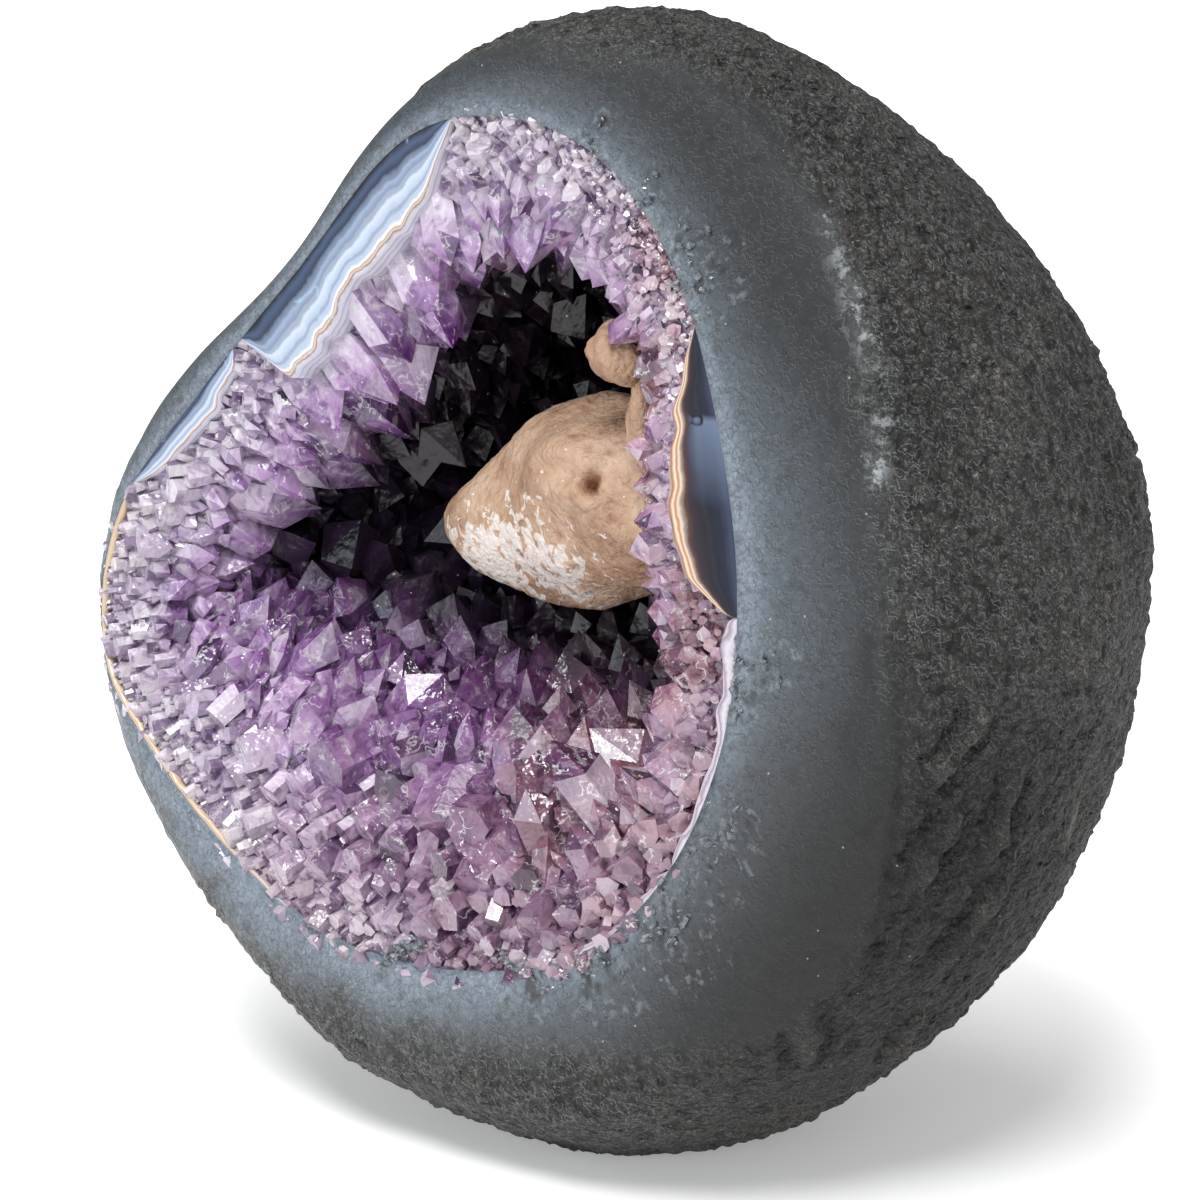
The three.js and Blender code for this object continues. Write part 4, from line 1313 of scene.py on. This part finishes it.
blue_agate = agate_finish(
    "agate_blue", "0 cfcbd8, 0.02 c9bfc4, 0.04 a47a5c, 0.06 e6dccf, 0.085 b18a70, 0.11 e2dedd, "
    "0.16 a9b6c8, 0.3 a9b6ca, 0.42 c3cddb, 0.52 78869e, 0.62 93a2ba, 0.74 2c374c, 0.84 43536d, "
    "0.93 1f2633, 1 1b1f27", "3d4c68", 5.0, 0.2, streaked=0.45)
dark_agate = agate_finish(
    "agate_dark", "0 cdb7b4, 0.05 b07a52, 0.1 ecd9c3, 0.15 a87248, 0.19 d4c3b0, 0.23 8d8078, "
    "0.28 5c3d30, 0.34 33262b, 0.45 231f29, 0.6 181b26, 0.78 1c2233, 0.9 323c50, 1 181c24",
    "2f2c3a", 4.0, 0.14, window=DARK_WINDOW, gloss=0.0)
chalcedony = agate_finish(
    "chalcedony", "0 b8a4b2, 0.3 8c8291, 0.5 c9c0ca, 0.72 77757f, 0.86 a9afba, 1 4c5259",
    "d9d4dc", 2.0, 1.2)
rind_finish = agate_finish(
    "rind", "0 d8c2a4, 0.3 9c6f4a, 0.5 d9c6b0, 0.75 8a5f41, 1 3f332c", "e8dccb", 2.0, 0.3,
    cool="0 b9a9b8, 0.4 978c99, 0.7 c6bdc3, 1 7b8088")
for name, material in (("agate_upper_left", blue_agate), ("agate_left", blue_agate),
                       ("agate_right", dark_agate), ("agate_lower_right", chalcedony)):
    agate_pieces[name].data.materials.append(material)
rind.data.materials.append(rind_finish)

# %% Glassy splinters
glassy, n, shader = start_finish("glassy_splinters")
frost = n.noise(n.place(), 900.0)
n.set(shader, {"Base Color": n.ramp(frost, "0.35 7d8992, 0.65 d3dade"), "Roughness": 0.1,
               "IOR": QUARTZ_IOR, "Transmission Weight": 0.75})
splinters.data.materials.append(glassy)

# %% [markdown]
# ## Calcite finish
# The calcite is a warm tan with whiter sugary patches low on its left, and orange in its pits.

# %% Calcite
calcite, n, shader = start_finish("calcite")
vector = n.place()
grain = n.use(grain_group, Vector=vector, Size=0.0016, Pitting=0.4)
specks = n.use(speck_group, Vector=vector, Spacing=0.0024, Share=0.22, Width=0.11)
cloud = n.noise(vector, 60.0, 6.0, 0.65)
patch = n.times_plus(n.noise(vector, 300.0, 3.0, distortion=0.6), 3.2, -2.3)
sugar = n.fit(n.math("ADD", n.read("sugar"), patch), 0.0, 0.1)
colour = n.layers(
    n.ramp(cloud, "0.3 8e6c54, 0.48 b6947a, 0.7 d3b69d"),
    (n.times(sugar, 0.8), "e6dfd9"),
    (n.times(specks["Mask"], 0.7), "f2ece4"),
    (n.times(n.read("pit"), 0.85), "7d4214"),
)
n.set(shader, {"Base Color": colour, "Roughness": 0.55,
               "Normal": n.bump(0.0008, 0.6, grain["Height"])})
for piece in calcite_pieces:
    piece.data.materials.append(calcite)
print("calcite on", len(calcite_pieces), "pieces")

# %% [markdown]
# ## Camera, floor and light
# The camera stands 42 degrees to the right and 12 degrees up, with a narrow lens. A white world is
# the soft studio. A key lamp, one from the top and a cool one like a window shape the stone, and
# three small weak ones draw glints on the facets.

# %% Camera
AZIMUTH, ELEVATION = 42, 12
DISTANCE, VIEW_ANGLE = 0.85, math.radians(17)
AIM = np.array([0.0069, -0.02118, 0.1197])
HALF_PICTURE = 600
PICTURE_SHIFT = (25, -28)  # to the right and up, in the same small steps as half the picture


def facing(azimuth, elevation):
    """The right, up and back of a camera or lamp that stands at these degrees."""
    turn, rise = math.radians(azimuth), math.radians(elevation)
    back = np.array([math.sin(turn) * math.cos(rise), -math.cos(turn) * math.cos(rise),
                     math.sin(rise)])
    side = unit(np.cross((0, 0, 1.0), back))
    return side, np.cross(back, side), back


def stand(name, data, axes, place=(0.0, 0.0, 0.0)):
    """An object that faces along its axes from its place."""
    made = put(name, data)
    rows = [[*row, along] for row, along in zip(np.array(axes).T, place)]
    made.matrix_world = Matrix(rows + [[0, 0, 0, 1]])
    return made


camera_data = bpy.data.cameras.new("camera")
camera_data.sensor_fit = "HORIZONTAL"
camera_data.angle = VIEW_ANGLE
across, upward, back = facing(AZIMUTH, ELEVATION)
focal = HALF_PICTURE / math.tan(VIEW_ANGLE / 2)
shift = (upward * PICTURE_SHIFT[1] - across * PICTURE_SHIFT[0]) / focal
bpy.context.scene.camera = stand("camera", camera_data, (across, upward, back),
                                 AIM + (back + shift) * DISTANCE)

# %% Floor and world
FLOOR_REACH = 4
corners = [(-1, -1), (1, -1), (1, 1), (-1, 1)]
floor_mesh = bpy.data.meshes.new("floor")
floor_mesh.from_pydata([(FLOOR_REACH * x, FLOOR_REACH * y, 0) for x, y in corners], [], [(0, 1, 2, 3)])
floor = put("floor", floor_mesh)
pale, n, shader = start_finish("pale_floor")
n.set(shader, {"Base Color": (0.96, 0.96, 0.96, 1), "Roughness": 0.9,
               "Emission Color": (1, 1, 1, 1), "Emission Strength": 0.28})
floor_mesh.materials.append(pale)

world = bpy.data.worlds.new("studio")
world.use_nodes = True
n = Nodes(world.node_tree)
seen = n.add("LightPath", {}).outputs["Is Camera Ray"]
n.set(n.tree.nodes["Background"], {"Strength": n.times_plus(seen, 0.7, 0.36), "Color": (1, 1, 1, 1)})
bpy.context.scene.world = world

# %% Lamps
LAMPS = [  # name, degrees round from the front to the right, degrees up, spread, strength, colour
    ("key", 28, 56, 20, 1.9, (1.0, 1.0, 1.0)),
    ("top", -70, 74, 40, 1.2, (1.0, 1.0, 1.0)),
    ("window", -18, 6, 40, 0.8, (0.82, 0.92, 1.0)),
    ("glint_left", -48, 22, 9, 0.16, (1.0, 1.0, 1.0)),
    ("glint_front", 12, 16, 9, 0.16, (1.0, 1.0, 1.0)),
    ("glint_right", 66, 26, 9, 0.16, (1.0, 1.0, 1.0)),
]
for name, azimuth, elevation, spread, strength, tint in LAMPS:
    lamp_data = bpy.data.lights.new(name, "SUN")
    lamp_data.angle = math.radians(spread)
    lamp_data.energy = strength
    lamp_data.color = tint
    stand(name, lamp_data, facing(azimuth, elevation))
bpy.context.scene.view_settings.view_transform = "Standard"
print("lamps:", len(LAMPS))
